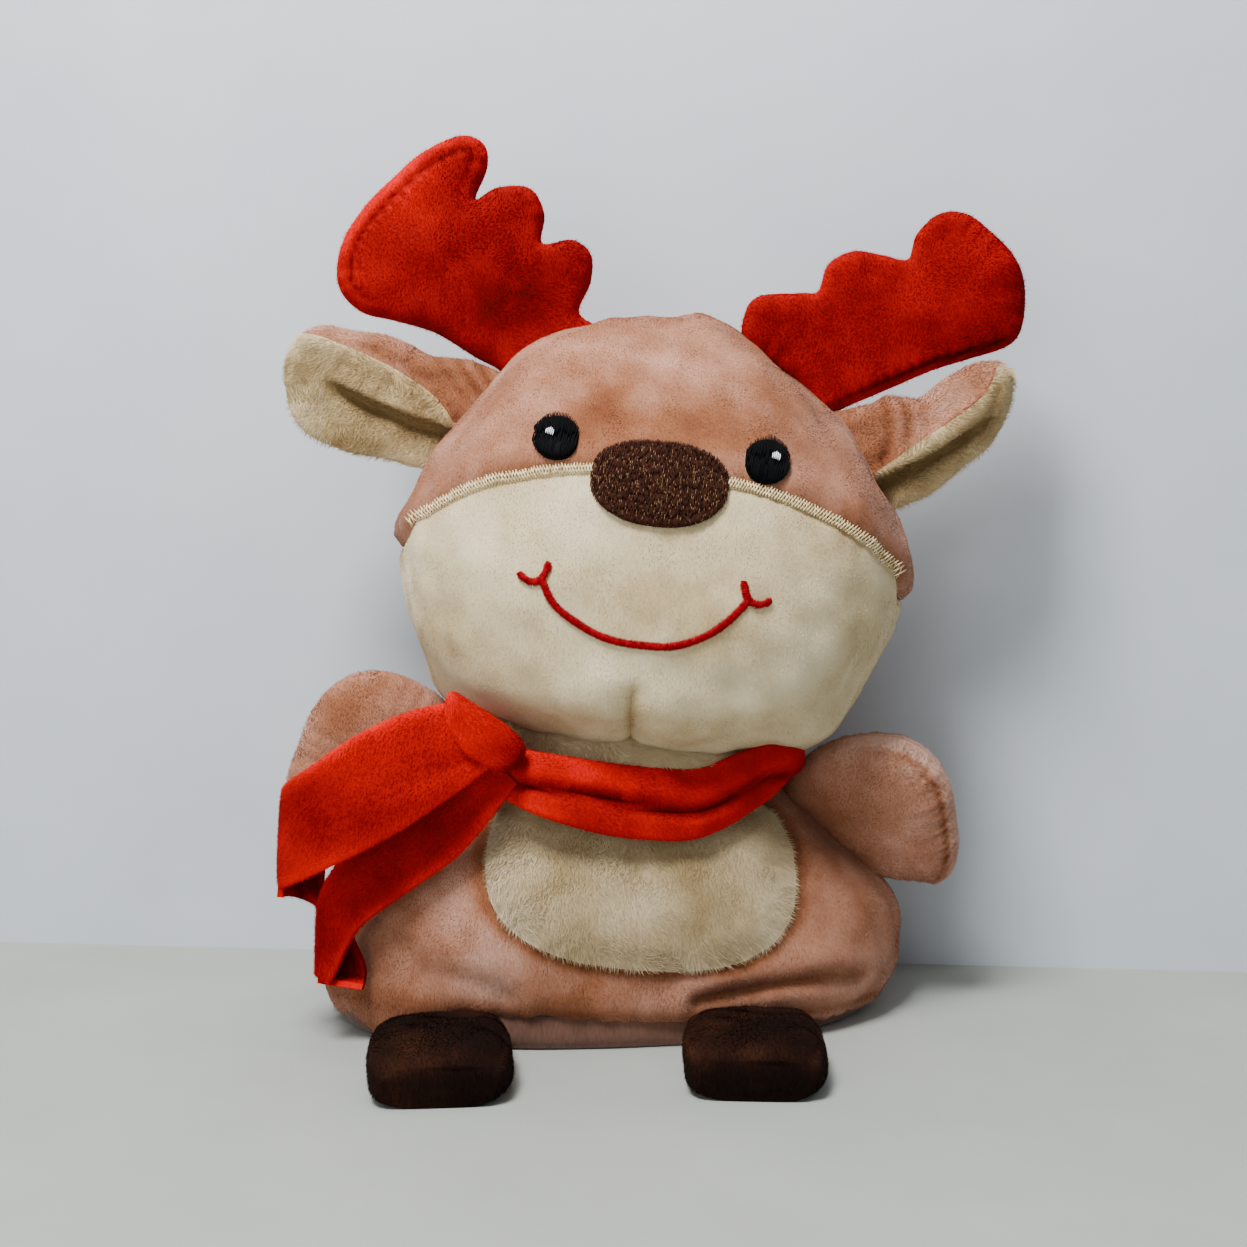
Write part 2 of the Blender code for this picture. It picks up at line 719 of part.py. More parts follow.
def build_head(head, parent):
    """The head's filling and its four cloth panels, with seams at the sides and down the back."""
    form_core("head_stuffing", head, 0.0, HEAD_CORE_SHARE, HEAD_ROWS, parent)
    seam = GAP / HEAD_WIDTH
    front = shares_between(math.pi + seam, 2 * math.pi - seam, HEAD_COLUMNS)
    edge = [muzzle_share(head, angle) for angle in front]
    seam_share = GAP / HEAD_HEIGHT
    count = len(front)
    below = [share - seam_share for share in edge]
    above = [share + seam_share for share in edge]
    form_panel("muzzle_panel", head, front, [0.0] * count, below, MUZZLE_ROWS, "cream_plush", parent)
    form_panel("face_panel", head, front, above, [1.0] * count, FACE_ROWS, "tan_plush", parent)
    for name, start in (("left", seam), ("right", math.pi / 2 + seam)):
        angles = shares_between(start, start + math.pi / 2 - 2 * seam, BACK_COLUMNS)
        lows, highs = [0.0] * len(angles), [1.0] * len(angles)
        form_panel(f"head_back_{name}", head, angles, lows, highs, HEAD_ROWS, "tan_plush", parent)


def build_face(head, parent):
    """Eyes, nose, smile and the gold line along the muzzle seam."""
    nose = disc_outline(0.0, NOSE_Z, NOSE_WIDTH, NOSE_HEIGHT, NOSE_STEPS, NOSE_SQUARENESS)
    front_patch("nose", head, nose, NOSE_THICKNESS, NOSE_RING_SHARES, "brown_thread", parent)
    for side, name in SIDE_NAMES.items():
        x = side * EYE_SPACING / 2
        eye = disc_outline(x, EYE_HEIGHT, EYE_DIAMETER, EYE_DIAMETER, EYE_STEPS)
        front_patch(f"eye_{name}", head, eye, EYE_THICKNESS, EYE_RING_SHARES, "black_thread", parent)
        glint_x = x + side * GLINT_OUT
        point, out = head.on_front(glint_x, EYE_HEIGHT + GLINT_UP)
        lift = point + out * (EYE_THICKNESS + 2 * GAP)
        turn = out.to_track_quat("Z", "Y").to_matrix()
        rings = [
            [lift + turn @ Vector((r * math.cos(t), r * math.sin(t), h)) for t in turns_of(RIM_STEPS)]
            for r, h in (
                (GLINT_DIAMETER / 2, 0.0),
                (GLINT_DIAMETER / 2, GLINT_THICKNESS / 2),
                (GLINT_DIAMETER / 4, GLINT_THICKNESS),
            )
        ]
        stacked(f"eye_glint_{name}", rings, "white_thread", parent)
        start = NOSE_WIDTH / 2 + GAP
        places = []
        for along in shares_between(start, TRIM_END_SHARE * HEAD_WIDTH / 2, TRIM_STEPS):
            z = muzzle_top(along)
            places.append((side * min(along, head.half_width(z) * TRIM_EDGE_SHARE), z))
        stitch_line(f"muzzle_trim_{name}", head, places, "gold_thread", parent)
    swings = shares_between(-math.pi / 2, math.pi / 2, SMILE_STEPS)
    curve = [(SMILE_WIDTH / 2 * math.sin(t), SMILE_BOTTOM + SMILE_RISE * (1 - math.cos(t))) for t in swings]
    smile = stitch_line("smile", head, curve, "red_thread", parent)
    for side, name in SIDE_NAMES.items():
        x, z = side * SMILE_WIDTH / 2, SMILE_BOTTOM + SMILE_RISE
        tick = [
            (x + side * TICK_OUT, z + STITCH_WIDTH / 2),
            (x + side * TICK_OUT / 2, z + STITCH_WIDTH / 8),
            (x, z),
            (x - side * TICK_IN / 2, z + TICK_UP / 2),
            (x - side * TICK_IN, z + TICK_UP),
        ]
        corner = stitch_line(f"smile_corner_{name}", head, tick, "red_thread", parent)
        corner.hide_render = True
        corner.display_type = "WIRE"
        join = smile.modifiers.new(f"join_{name}", "BOOLEAN")
        join.operation = "UNION"
        join.object = corner


def outline_points(shares, span, reach, side):
    """An outline in its own plane, from shares of its span and its reach."""
    return [Vector((side * u * span, 0.0, v * reach)) for u, v in shares]


def pillow(names, outline, centre, puff, steps, material, parent):
    """A flat sewn piece, fullest at its centre: a front panel, a back panel and the filling between them."""
    ring = [Vector(point) for point in closed_curve([tuple(p) for p in outline], steps)]
    front, back, filling = names

    def layer(lift, shares, sense):
        rows = []
        for share in shares:
            crown = puff * (1 - share ** PILLOW_ROUNDNESS) ** PILLOW_FULLNESS
            rise = Vector((0, sense * (lift + crown), 0))
            rows.append([centre + (p - centre) * share + rise for p in ring])
        return rows

    for name, sense in ((front, -1), (back, 1)):
        outer = layer(GAP / 2 + FABRIC, PILLOW_RING_SHARES, sense)
        inner = layer(GAP / 2, PILLOW_RING_SHARES, sense)
        cup(name, outer, inner, material, parent)
    shares = PILLOW_FILLING_SHARES
    rings = layer(-PILLOW_CLEARANCE, shares[::-1], -1) + layer(-PILLOW_CLEARANCE, shares, 1)
    stacked(filling, rings, "fibre_filling", parent)


def seat_on_form(form, matrix, x, forward):
    """How far out along a limb's own Z its root meets a form's silhouette, at an x along the root."""
    low, high = -forward, forward
    for _ in range(BISECTIONS):
        middle = (low + high) / 2
        point = matrix @ Vector((x, 0.0, middle))
        if abs(point.x) < form.half_width(point.z):
            low = middle
        else:
            high = middle
    return high


def seated_outline(points, root, form, matrix, clearance):
    """Adds the root's edge, which follows the form's silhouette, to a limb's outline."""
    reach = max(p.z for p in points) / 2
    edge = [Vector((x, 0.0, seat_on_form(form, matrix, x, reach) + clearance)) for x in root]
    return edge + points


def build_arms(torso, parent):
    """Two paddles sewn to the shoulders along a sloping seam."""
    for side, name in SIDE_NAMES.items():
        swing = LEFT_ARM_SWING if side == LEFT else RIGHT_ARM_SWING
        place = (side * ARM_ROOT_X, ARM_SEAM_Y, ARM_ROOT_Z)
        slope = side * ARM_SLOPE
        seat = Matrix.Translation(place) @ Matrix.Rotation(slope, 4, "Y")
        points = outline_points(ARM_OUTLINE_SHARES, ARM_LENGTH, ARM_REACH, side)
        root = [side * share * ARM_LENGTH for share in ARM_ROOT_SHARES]
        outline = seated_outline(points, root, torso, seat, SEAM_CLEARANCE)
        hinge_z = max(p.z for p in outline[: len(root)])
        start = seat @ Vector((0.0, 0.0, hinge_z))
        hinge = frame_empty(f"arm_{name}_hinge", parent, start, ((slope, "Y"), (swing, "X")))
        outline = [p - Vector((0.0, 0.0, hinge_z)) for p in outline]
        names = (f"arm_front_panel_{name}", f"arm_back_panel_{name}", f"arm_stuffing_{name}")
        centre = sum(outline, Vector()) / len(outline)
        pillow(names, outline, centre, ARM_PUFF, ARM_STEPS, "tan_plush", hinge)


def build_feet(torso):
    """Two squared pads that lie in front of the base, sewn to the torso's lower edge."""
    back_width, back_height = FOOT_SECTION_SHARES[0][1:]
    hinge_height = FOOT_HEIGHT * back_height
    torso_bottom = TORSO_HEIGHT * TORSO_SECTION_SHARES[0][0]

    def section(along, width, height, inset):
        half_width = FOOT_WIDTH / 2 * width - inset
        half_height = FOOT_HEIGHT / 2 * height - inset
        middle = FOOT_HEIGHT / 2 * height - hinge_height
        ring = []
        for t in turns_of(FOOT_STEPS):
            across = half_width * powered(math.cos(t), FOOT_SQUARENESS)
            up = half_height * powered(math.sin(t), FOOT_SQUARENESS)
            ring.append(Vector((across, -along, middle + up)))
        return ring

    for side, name in SIDE_NAMES.items():
        x = LEFT_FOOT_X if side == LEFT else RIGHT_FOOT_X
        turn = LEFT_FOOT_TURN if side == LEFT else RIGHT_FOOT_TURN
        standing = Matrix.Translation((x, 0.0, hinge_height)) @ Matrix.Rotation(turn, 4, "Z")
        back = [standing @ point for point in section(0.0, back_width, back_height, 0.0)]
        seat = min(torso.on_front(p.x, p.z)[0].y - p.y for p in back if p.z > torso_bottom)
        hinge = frame_empty(f"foot_{name}_hinge", None, (x, seat - FOOT_SEAT_CLEARANCE, hinge_height), ((turn, "Z"),))
        outer = [section(FOOT_LENGTH * s, w, h, 0.0) for s, w, h in FOOT_SECTION_SHARES]
        end = FOOT_LENGTH - FABRIC
        inner = [section(end * s, w, h, FABRIC) for s, w, h in FOOT_SECTION_SHARES]
        cup(f"foot_cover_{name}", outer, inner, "brown_plush", hinge)
        end -= FOOT_FILLING_CLEARANCE
        inset = FABRIC + FOOT_FILLING_CLEARANCE
        core = [section(GAP + (end - GAP) * s, w, h, inset) for s, w, h in FOOT_SECTION_SHARES]
        stacked(f"foot_stuffing_{name}", core, "fibre_filling", hinge)


def build_antlers(head, parent):
    """Two flat, lobed antlers whose base edge is sewn into the head's side seam."""
    for side, name in SIDE_NAMES.items():
        turn = side * (LEFT_ANTLER_TURN if side == LEFT else RIGHT_ANTLER_TURN)
        shares = LEFT_ANTLER_SHARES if side == LEFT else RIGHT_ANTLER_SHARES
        seat = Matrix.Translation((side * ANTLER_X, 0.0, ANTLER_Z)) @ Matrix.Rotation(turn, 4, "Y")
        points = outline_points(shares, ANTLER_SPAN, ANTLER_REACH, side)
        root = [side * share * ANTLER_SPAN for share in ANTLER_ROOT_SHARES]
        outline = seated_outline(points, root, head, seat, SEAM_CLEARANCE)
        hinge_z = max(p.z for p in outline[: len(root)])
        start = seat @ Vector((0.0, 0.0, hinge_z))
        hinge = frame_empty(f"antler_{name}_hinge", parent, start, ((turn, "Y"),))
        outline = [p - Vector((0.0, 0.0, hinge_z)) for p in outline]
        names = (f"antler_front_{name}", f"antler_back_{name}", f"antler_padding_{name}")
        across, along = ANTLER_CENTRE_SHARES
        centre = Vector((side * across * ANTLER_SPAN, 0.0, along * ANTLER_REACH - hinge_z))
        pillow(names, outline, centre, ANTLER_PUFF, ANTLER_STEPS, "red_plush", hinge)


def ear_section(side, row):
    """The middle of the ear's cloth across its length, from the lower edge over the crest to the flap."""
    low_out, low_up, crest_out, crest_up, flap, fold = row
    low = Vector((side * low_out, 0.0, low_up)) * EAR_LENGTH
    crest = Vector((side * crest_out, 0.0, crest_up)) * EAR_LENGTH
    up = (crest - low).normalized()
    forward = Vector((0.0, -1.0, 0.0))
    turn = EAR_FOLD * fold
    bend = min(turn, math.pi / 2)
    bend_start = (crest - low).length - EAR_FOLD_RADIUS * math.sin(bend)
    places = [(bend_start * i / EAR_LOWER_STEPS, 0.0) for i in range(EAR_LOWER_STEPS)]
    for a in shares_between(0.0, turn, EAR_ARC_STEPS):
        places.append((bend_start + EAR_FOLD_RADIUS * math.sin(a), EAR_FOLD_RADIUS * (1 - math.cos(a))))
    arc_up, arc_forward = places[-1]
    for i in range(1, EAR_FLAP_STEPS + 1):
        run = EAR_FLAP * flap * i / EAR_FLAP_STEPS
        places.append((arc_up + run * math.cos(turn), arc_forward + run * math.sin(turn)))
    return [low + up * rise + forward * out for rise, out in places]


def build_ears(head, parent):
    """Two leaf-shaped ears of an outer and a lining cloth, folded over forwards near the head."""
    for side, name in SIDE_NAMES.items():
        shares = LEFT_EAR_SHARES if side == LEFT else RIGHT_EAR_SHARES
        root_x, root_z = LEFT_EAR_ROOT if side == LEFT else RIGHT_EAR_ROOT
        rows = [ear_section(side, on_curve(shares, i / EAR_ROWS)) for i in range(EAR_ROWS + 1)]
        edge = rows[0][EAR_LOWER_STEPS] - rows[0][0]
        slope = math.atan2(edge.x, edge.z)
        turned_back = Matrix.Rotation(-slope, 3, "Y")
        middles = [[turned_back @ point for point in row] for row in rows]
        place = (side * root_x, 0.0, root_z)
        hinge = frame_empty(f"ear_{name}_hinge", parent, place, ((slope, "Y"),))
        ear_layers(name, side, middles, hinge)


def ear_layers(name, side, middles, parent):
    """The two cloths of an ear, on either side of its middle surface."""
    rows, columns = len(middles), len(middles[0])

    def layer(lift):
        grid = []
        for i in range(rows):
            row = []
            for j in range(columns):
                outwards = middles[min(i + 1, rows - 1)][j] - middles[max(i - 1, 0)][j]
                across = middles[i][min(j + 1, columns - 1)] - middles[i][max(j - 1, 0)]
                row.append(middles[i][j] + side * outwards.cross(across).normalized() * lift)
            grid.append(row)
        return grid

    near, far = GAP / 2, GAP / 2 + FABRIC
    sheet(f"ear_lining_{name}", layer(near), layer(far), "cream_plush", parent)
    sheet(f"ear_outer_{name}", layer(-near), layer(-far), "tan_plush", parent)


def build_scarf(parent):
    """The scarf: its band, the fold that crosses it and two tails that hang from the fold."""
    rings = []
    for t in turns_of(BAND_STEPS):
        front_share = max(0.0, -math.sin(t)) ** SCARF_NARROWING
        depth = SCARF_FRONT if math.sin(t) < 0 else SCARF_BACK
        x = SCARF_HALF_WIDTH * powered(math.cos(t), TORSO_SQUARENESS)
        y = depth * powered(math.sin(t), TORSO_SQUARENESS)
        out = Vector((math.cos(t) / SCARF_HALF_WIDTH, math.sin(t) / depth, 0.0)).normalized()
        knot_share = max(0.0, math.cos(t - SCARF_KNOT_TURN)) ** SCARF_KNOT_NARROWNESS
        centre = Vector((x, y, SCARF_Z - SCARF_SAG * front_share)) + out * SCARF_KNOT_BULGE * knot_share
        tilt = SCARF_TILT * front_share
        half = SCARF_WIDTH / 2 * (SCARF_SIDE_SHARE + (1 - SCARF_SIDE_SHARE) * front_share)
        up = Vector((0, 0, math.cos(tilt))) - out * math.sin(tilt)
        thick = out * math.cos(tilt) + Vector((0, 0, math.sin(tilt)))
        rings.append(cloth_ring(centre, up * half, thick * SCARF_THICKNESS / 2, SCARF_SQUARENESS))
    columns = len(rings[0])
    vertices = [point for ring in rings for point in ring]
    faces = grid_faces(len(rings), columns, closed=True)
    last = (len(rings) - 1) * columns
    faces += [(last + k, last + (k + 1) % columns, (k + 1) % columns, k) for k in range(columns)]
    piece("scarf_band", vertices, faces, "red_plush", parent)
    build_wrap(parent)
    build_tail("upper", UPPER_TAIL_START, UPPER_TAIL_LENGTH, UPPER_TAIL_SHARES, parent)
    build_tail("lower", LOWER_TAIL_START, LOWER_TAIL_LENGTH, LOWER_TAIL_SHARES, parent)


def cloth_ring(centre, half_width, half_thickness, squareness):
    """A section of folded cloth: a flat, round-cornered ring of points."""
    ring = []
    for r in turns_of(RIM_STEPS):
        across = half_width * powered(math.sin(r), squareness)
        ring.append(centre + across + half_thickness * powered(math.cos(r), squareness))
    return ring


def tail_root(start, length, shares):
    """The middle of a tail's root edge and the slope of that edge."""
    upper, lower = Vector(shares[0][:3]) * length, Vector(shares[0][3:]) * length
    edge = upper - lower
    return Vector(start) + (upper + lower) / 2, math.atan2(edge.x, edge.z)


def build_wrap(parent):
    """The fold of the scarf that crosses over its band, a rounded pad beside the upper tail's root."""
    middle, slope = tail_root(UPPER_TAIL_START, UPPER_TAIL_LENGTH, UPPER_TAIL_SHARES)
    turn = Matrix.Rotation(slope, 3, "Y")
    place = middle + turn @ Vector((WRAP_WIDTH / 2 + GAP, 0, -WRAP_DROP))
    place.y = WRAP_Y
    rings = []
    for along, size in WRAP_SECTION_SHARES:
        centre = place + turn @ Vector((0, 0, WRAP_HEIGHT / 2 * along))
        half_width = turn @ Vector((WRAP_WIDTH / 2 * size, 0, 0))
        half_thickness = Vector((0, WRAP_THICKNESS / 2 * size, 0))
        rings.append(cloth_ring(centre, half_width, half_thickness, WRAP_SQUARENESS))
    stacked("scarf_wrap", rings, "red_plush", parent)


def build_tail(name, start, length, shares, parent):
    """A flat tail of the scarf between two edges, hinged along its root."""
    edges = []
    for i in range(TAIL_STEPS + 1):
        row = on_curve(shares, i / TAIL_STEPS)
        edges.append((Vector(row[:3]) * length, Vector(row[3:]) * length))
    slope = tail_root(start, length, shares)[1]
    turned_back = Matrix.Rotation(-slope, 3, "Y")
    middles = [(upper + lower) / 2 for upper, lower in edges]
    rings = []
    for i, (upper, lower) in enumerate(edges):
        along = middles[min(i + 1, TAIL_STEPS)] - middles[max(i - 1, 0)]
        thick = (upper - lower).cross(along).normalized() * TAIL_THICKNESS / 2
        ring = cloth_ring(middles[i], (upper - lower) / 2, thick, TAIL_SQUARENESS)
        rings.append([turned_back @ point for point in ring])
    hinge = frame_empty(f"scarf_tail_{name}_hinge", parent, start, ((slope, "Y"),))
    stacked(f"scarf_tail_{name}", rings, "red_plush", hinge)


def main():
    for obj in list(bpy.data.objects):
        bpy.data.objects.remove(obj, do_unlink=True)
    torso_sizes = (TORSO_HEIGHT, TORSO_WIDTH, TORSO_FRONT, TORSO_BACK, TORSO_SQUARENESS)
    torso = StuffedForm(TORSO_SECTION_SHARES, *torso_sizes, bend=lean_over)
    upright_torso = StuffedForm(TORSO_SECTION_SHARES, *torso_sizes)
    head = StuffedForm(HEAD_SECTION_SHARES, HEAD_HEIGHT, HEAD_WIDTH, HEAD_FRONT, HEAD_BACK, HEAD_SQUARENESS)
    leaning = frame_empty("leaning", turns=((LEAN, "Y"),))
    neck = frame_empty("head_turn_axis", leaning, (0.0, NECK_Y, NECK_TOP))
    head_frame = frame_empty("head_nod_axis", neck, turns=((HEAD_LOOK, "Z"),))
    build_base()
    build_torso(torso)
    build_neck(upright_torso, head, neck)
    build_head(head, head_frame)
    build_face(head, head_frame)
    build_arms(upright_torso, leaning)
    build_feet(upright_torso)
    build_antlers(head, head_frame)
    build_ears(head, head_frame)
    build_scarf(leaning)


main()
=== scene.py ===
"""A sitting plush deer dressed over its CAD frame: napped cloths, embroidery, a red scarf, floor and light."""

import json
import logging
import math
from dataclasses import dataclass
from enum import Enum
from typing import Sequence

import bmesh
import bpy
import numpy as np
from mathutils import Matrix, Vector
from mathutils.geometry import delaunay_2d_cdt

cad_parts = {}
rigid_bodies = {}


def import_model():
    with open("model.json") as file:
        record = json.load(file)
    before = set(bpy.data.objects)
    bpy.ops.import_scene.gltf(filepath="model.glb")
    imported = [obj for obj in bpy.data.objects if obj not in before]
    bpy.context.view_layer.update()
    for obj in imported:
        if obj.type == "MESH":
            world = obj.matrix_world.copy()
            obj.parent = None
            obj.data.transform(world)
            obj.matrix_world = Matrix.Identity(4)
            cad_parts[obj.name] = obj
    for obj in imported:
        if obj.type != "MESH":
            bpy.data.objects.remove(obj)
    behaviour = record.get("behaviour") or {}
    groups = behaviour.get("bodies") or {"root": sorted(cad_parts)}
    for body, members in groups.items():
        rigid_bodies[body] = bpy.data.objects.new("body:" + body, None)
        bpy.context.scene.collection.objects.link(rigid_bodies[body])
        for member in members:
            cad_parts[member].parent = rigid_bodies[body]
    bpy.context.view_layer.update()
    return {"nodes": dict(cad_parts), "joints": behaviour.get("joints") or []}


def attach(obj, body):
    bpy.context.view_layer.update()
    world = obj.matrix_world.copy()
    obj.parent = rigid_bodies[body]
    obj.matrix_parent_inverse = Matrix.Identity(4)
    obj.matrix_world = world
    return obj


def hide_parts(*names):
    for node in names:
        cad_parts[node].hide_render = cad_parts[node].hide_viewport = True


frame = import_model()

LOG = logging.getLogger("plush_deer")
MM = 0.001
CLOTH = 1.2 * MM
SEWN_IN = 2.5 * MM
NAP_SHADES = 7
LEAN_DEGREES = 6.0
HEAD_TURN_DEGREES = -8.0
HEAD_WIDTH = 143.6
CLOTH_GAP = 0.3
DARK_STOP = 0.3
LIGHT_STOP = 0.7
NOSE_Z = 75.3
EYE_PLACES = ((26.6, 83.9), (-27.4, 84.5))
Array = np.ndarray


class Side(Enum):
    """The deer's own left and right. The value is the sign of X on that side."""

    LEFT = 1
    RIGHT = -1

    @property
    def word(self) -> str:
        """The side's name as the CAD nodes spell it."""
        return self.name.lower()


class Weave(Enum):
    """How a cloth without pile was made."""

    KNIT = "knit"
    FELT = "felt"


# Shared mathematics


def ease(low: float, high: float, value: Array) -> Array:
    """A smooth step from 0 at low to 1 at high.

    Args:
        low: Where the step starts.
        high: Where it ends.
        value: The values to look up.

    Returns:
        The step at each value.
    """
    t = np.clip((value - low) / (high - low), 0.0, 1.0)
    return t * t * (3.0 - 2.0 * t)


def hump(value: Array, middle: float, width: float) -> Array:
    """A rounded hump of height 1, as wide as its width on either side of its middle."""
    return np.exp(-(((value - middle) / width) ** 2))


def powered(value: Array, squareness: float) -> Array:
    """A sine or cosine made squarer, with its sign kept."""
    return np.sign(value) * np.abs(value) ** (2.0 / squareness)


def turn_about(axis: str, degrees: float) -> Array:
    """The 3 by 3 rotation about a main axis."""
    return np.array(Matrix.Rotation(math.radians(degrees), 3, axis))


def unit(vectors: Array) -> Array:
    """The same directions with length 1."""
    return vectors / np.maximum(np.linalg.norm(vectors, axis=-1, keepdims=True), 1e-12)


def along_rows(rows: Sequence[Sequence[float]], share: Array) -> Array:
    """Rows of numbers looked up on a smooth curve through them.

    Args:
        rows: The rows, at even steps.
        share: How far along the rows, from 0 to 1.

    Returns:
        One row of numbers for each share.
    """
    table = np.asarray(rows, float)
    share = np.asarray(share, float)
    place = np.clip(share, 0.0, 1.0) * (len(table) - 1)
    index = np.minimum(place.astype(int), len(table) - 2)
    t = (place - index)[..., None]
    before, start = table[np.maximum(index - 1, 0)], table[index]
    end, after = table[index + 1], table[np.minimum(index + 2, len(table) - 1)]
    bend = 2.0 * before - 5.0 * start + 4.0 * end - after
    twist = 3.0 * start - before - 3.0 * end + after
    return start + 0.5 * ((end - before) * t + bend * t**2 + twist * t**3)


def closed_curve(points: Sequence[Sequence[float]], steps: int) -> Array:
    """Points at even steps along a smooth closed curve through the given ones."""
    count = len(points)
    ring = [points[i % count] for i in range(-1, count + 2)]
    return along_rows(ring, (1.0 + count * np.arange(steps) / steps) / (count + 2))


def lumps(points: Array, size: float, seed: int) -> Array:
    """Smooth hills and hollows between about -1 and 1.

    Args:
        points: Where to look them up, in metres.
        size: From hill to hill, in metres.
        seed: Fixes the pattern.

    Returns:
        The height at each point.
    """
    random = np.random.default_rng(seed)
    total = np.zeros(points.shape[:-1])
    for _ in range(8):
        wave = unit(random.normal(size=3)) * random.uniform(0.7, 1.5) * 2.0 * math.pi / size
        total += np.sin(points @ wave + random.uniform(0.0, 2.0 * math.pi))
    return total / 2.8


def line_distance(places: Array, line: Sequence[Sequence[float]]) -> Array:
    """How far places on a front view are from a line of straight pieces.

    Args:
        places: The places, across and up.
        line: The line's points, in the same unit.

    Returns:
        The distance of each place.
    """
    best = np.full(places.shape[:-1], np.inf)
    for start, end in zip(line, line[1:]):
        a, run = np.array(start, float), np.array(end, float) - np.array(start, float)
        t = np.clip(((places - a) @ run) / (run @ run), 0.0, 1.0)
        best = np.minimum(best, np.linalg.norm(places - a - t[..., None] * run, axis=-1))
    return best


def seam(distance: Array, depth: float = 1.0, swell: float = 0.7) -> Array:
    """The dip of a sewn seam and the cloth that swells beside it, in millimetres."""
    return swell * hump(distance, 5.5, 4.0) - depth * hump(distance, 0.0, 1.5)


def puckers(along: Array, distance: Array, pitch: float, height: float) -> Array:
    """The small pleats that a seam draws in the cloth beside it, in millimetres."""
    wave = np.sin(2.0 * math.pi * (along / pitch + 0.35 * np.sin(along / pitch * 1.7)))
    return height * wave * np.exp(-np.abs(distance) / 4.5)


@dataclass(frozen=True)
class Placement:
    """A frame of the toy: how it is turned and where its origin is."""

    turn: Array
    origin: Array

    def points(self, local: Array) -> Array:
        """Points of the frame in the toy's own metres."""
        return local @ self.turn.T + self.origin

    def then(self, turn: Array, origin: Sequence[float]) -> "Placement":
        """A frame that is placed inside this one."""
        return Placement(self.turn @ turn, self.points(np.array(origin, float)))


LEANING = Placement(turn_about("Y", LEAN_DEGREES), np.zeros(3))
HEAD_FRAME = LEANING.then(turn_about("Z", HEAD_TURN_DEGREES), (0.0, -4.0 * MM, 75.0 * MM))


@dataclass(frozen=True)
class StuffedForm:
    """A stack of rounded level sections that swell and taper: the cloth surface of the torso or head."""

    rows: tuple[tuple[float, float, float, float], ...]
    height: float
    width: float
    front: float
    back: float
    squareness: float = 2.3

    def at(self, share: Array, angle: Array) -> Array:
        """Surface points.

        Args:
            share: How far up the sections.
            angle: From +X, counter-clockwise from above.

        Returns:
            The points, in the form's own frame.
        """
        share, angle = np.broadcast_arrays(share, angle)
        z, width, front, back = np.moveaxis(along_rows(self.rows, share), -1, 0)
        side = np.sin(angle)
        depth = np.where(side < 0.0, self.front * front, self.back * back)
        x = self.width / 2.0 * width * powered(np.cos(angle), self.squareness)
        return np.stack([x, depth * powered(side, self.squareness), self.height * z], axis=-1)

    def share_at(self, z: Array) -> Array:
        """How far up the sections a height is."""
        shares = np.linspace(0.0, 1.0, 600)
        return np.interp(z, along_rows(self.rows, shares)[:, 0] * self.height, shares)

    def half_width(self, z: Array) -> Array:
        """Half the form's width at a height."""
        return along_rows(self.rows, self.share_at(z))[..., 1] * self.width / 2.0

    def front_at(self, x: Array, z: Array) -> tuple[Array, Array]:
        """Surface points straight behind places on the front view.

        Args:
            x: Places across, in metres.
            z: Places up, in metres.

        Returns:
            The points and the directions out of the cloth.
        """
        share = self.share_at(z)
        ratio = np.clip(np.abs(x) / self.half_width(z), 0.0, 0.999)
        angle = -np.arccos(np.sign(x) * ratio ** (self.squareness / 2.0))
        step = 2e-3
        across = self.at(share, angle + step) - self.at(share, angle - step)
        up = self.at(np.minimum(share + step, 1.0), angle) - self.at(np.maximum(share - step, 0.0), angle)
        return self.at(share, angle), unit(np.cross(across, up))


# Node trees and finishes


def linear(colour: str) -> tuple[float, float, float, float]:
    """An sRGB hex colour as linear red, green, blue and alpha."""
    values = [int(colour[i : i + 2], 16) / 255.0 for i in (1, 3, 5)]
    mixed = [v / 12.92 if v <= 0.04045 else ((v + 0.055) / 1.055) ** 2.4 for v in values]
    return (*mixed, 1.0)


def add_node(
    tree: bpy.types.NodeTree,
    kind: str,
    settings: dict | None = None,
    inputs: dict | None = None,
    stops: Sequence[tuple[float, str]] = (),
) -> bpy.types.Node:
    """Adds a node.

    Args:
        tree: The tree that gets it.
        kind: Its type.
        settings: Its own options.
        inputs: Its sockets, each with a value or with the socket that feeds it.
        stops: Places and colours along it, where it is a ramp.

    Returns:
        The node.
    """
    node = tree.nodes.new(kind)
    for key, value in (settings or {}).items():
        setattr(node, key, value)
    for key, value in (inputs or {}).items():
        if isinstance(value, bpy.types.NodeSocket):
            tree.links.new(value, node.inputs[key])
        else:
            node.inputs[key].default_value = value
    for index, (place, colour) in enumerate(stops):
        marks = node.color_ramp.elements
        stop = marks[index] if index < 2 else marks.new(place)
        stop.position = place
        stop.color = linear(colour)
    return node


def new_material(name: str) -> tuple[bpy.types.Material, bpy.types.NodeTree, bpy.types.Node]:
    """A material, its tree and its shader."""
    material = bpy.data.materials.new(name)
    material.use_nodes = True
    shader = material.node_tree.nodes["Principled BSDF"]
    return material, material.node_tree, shader


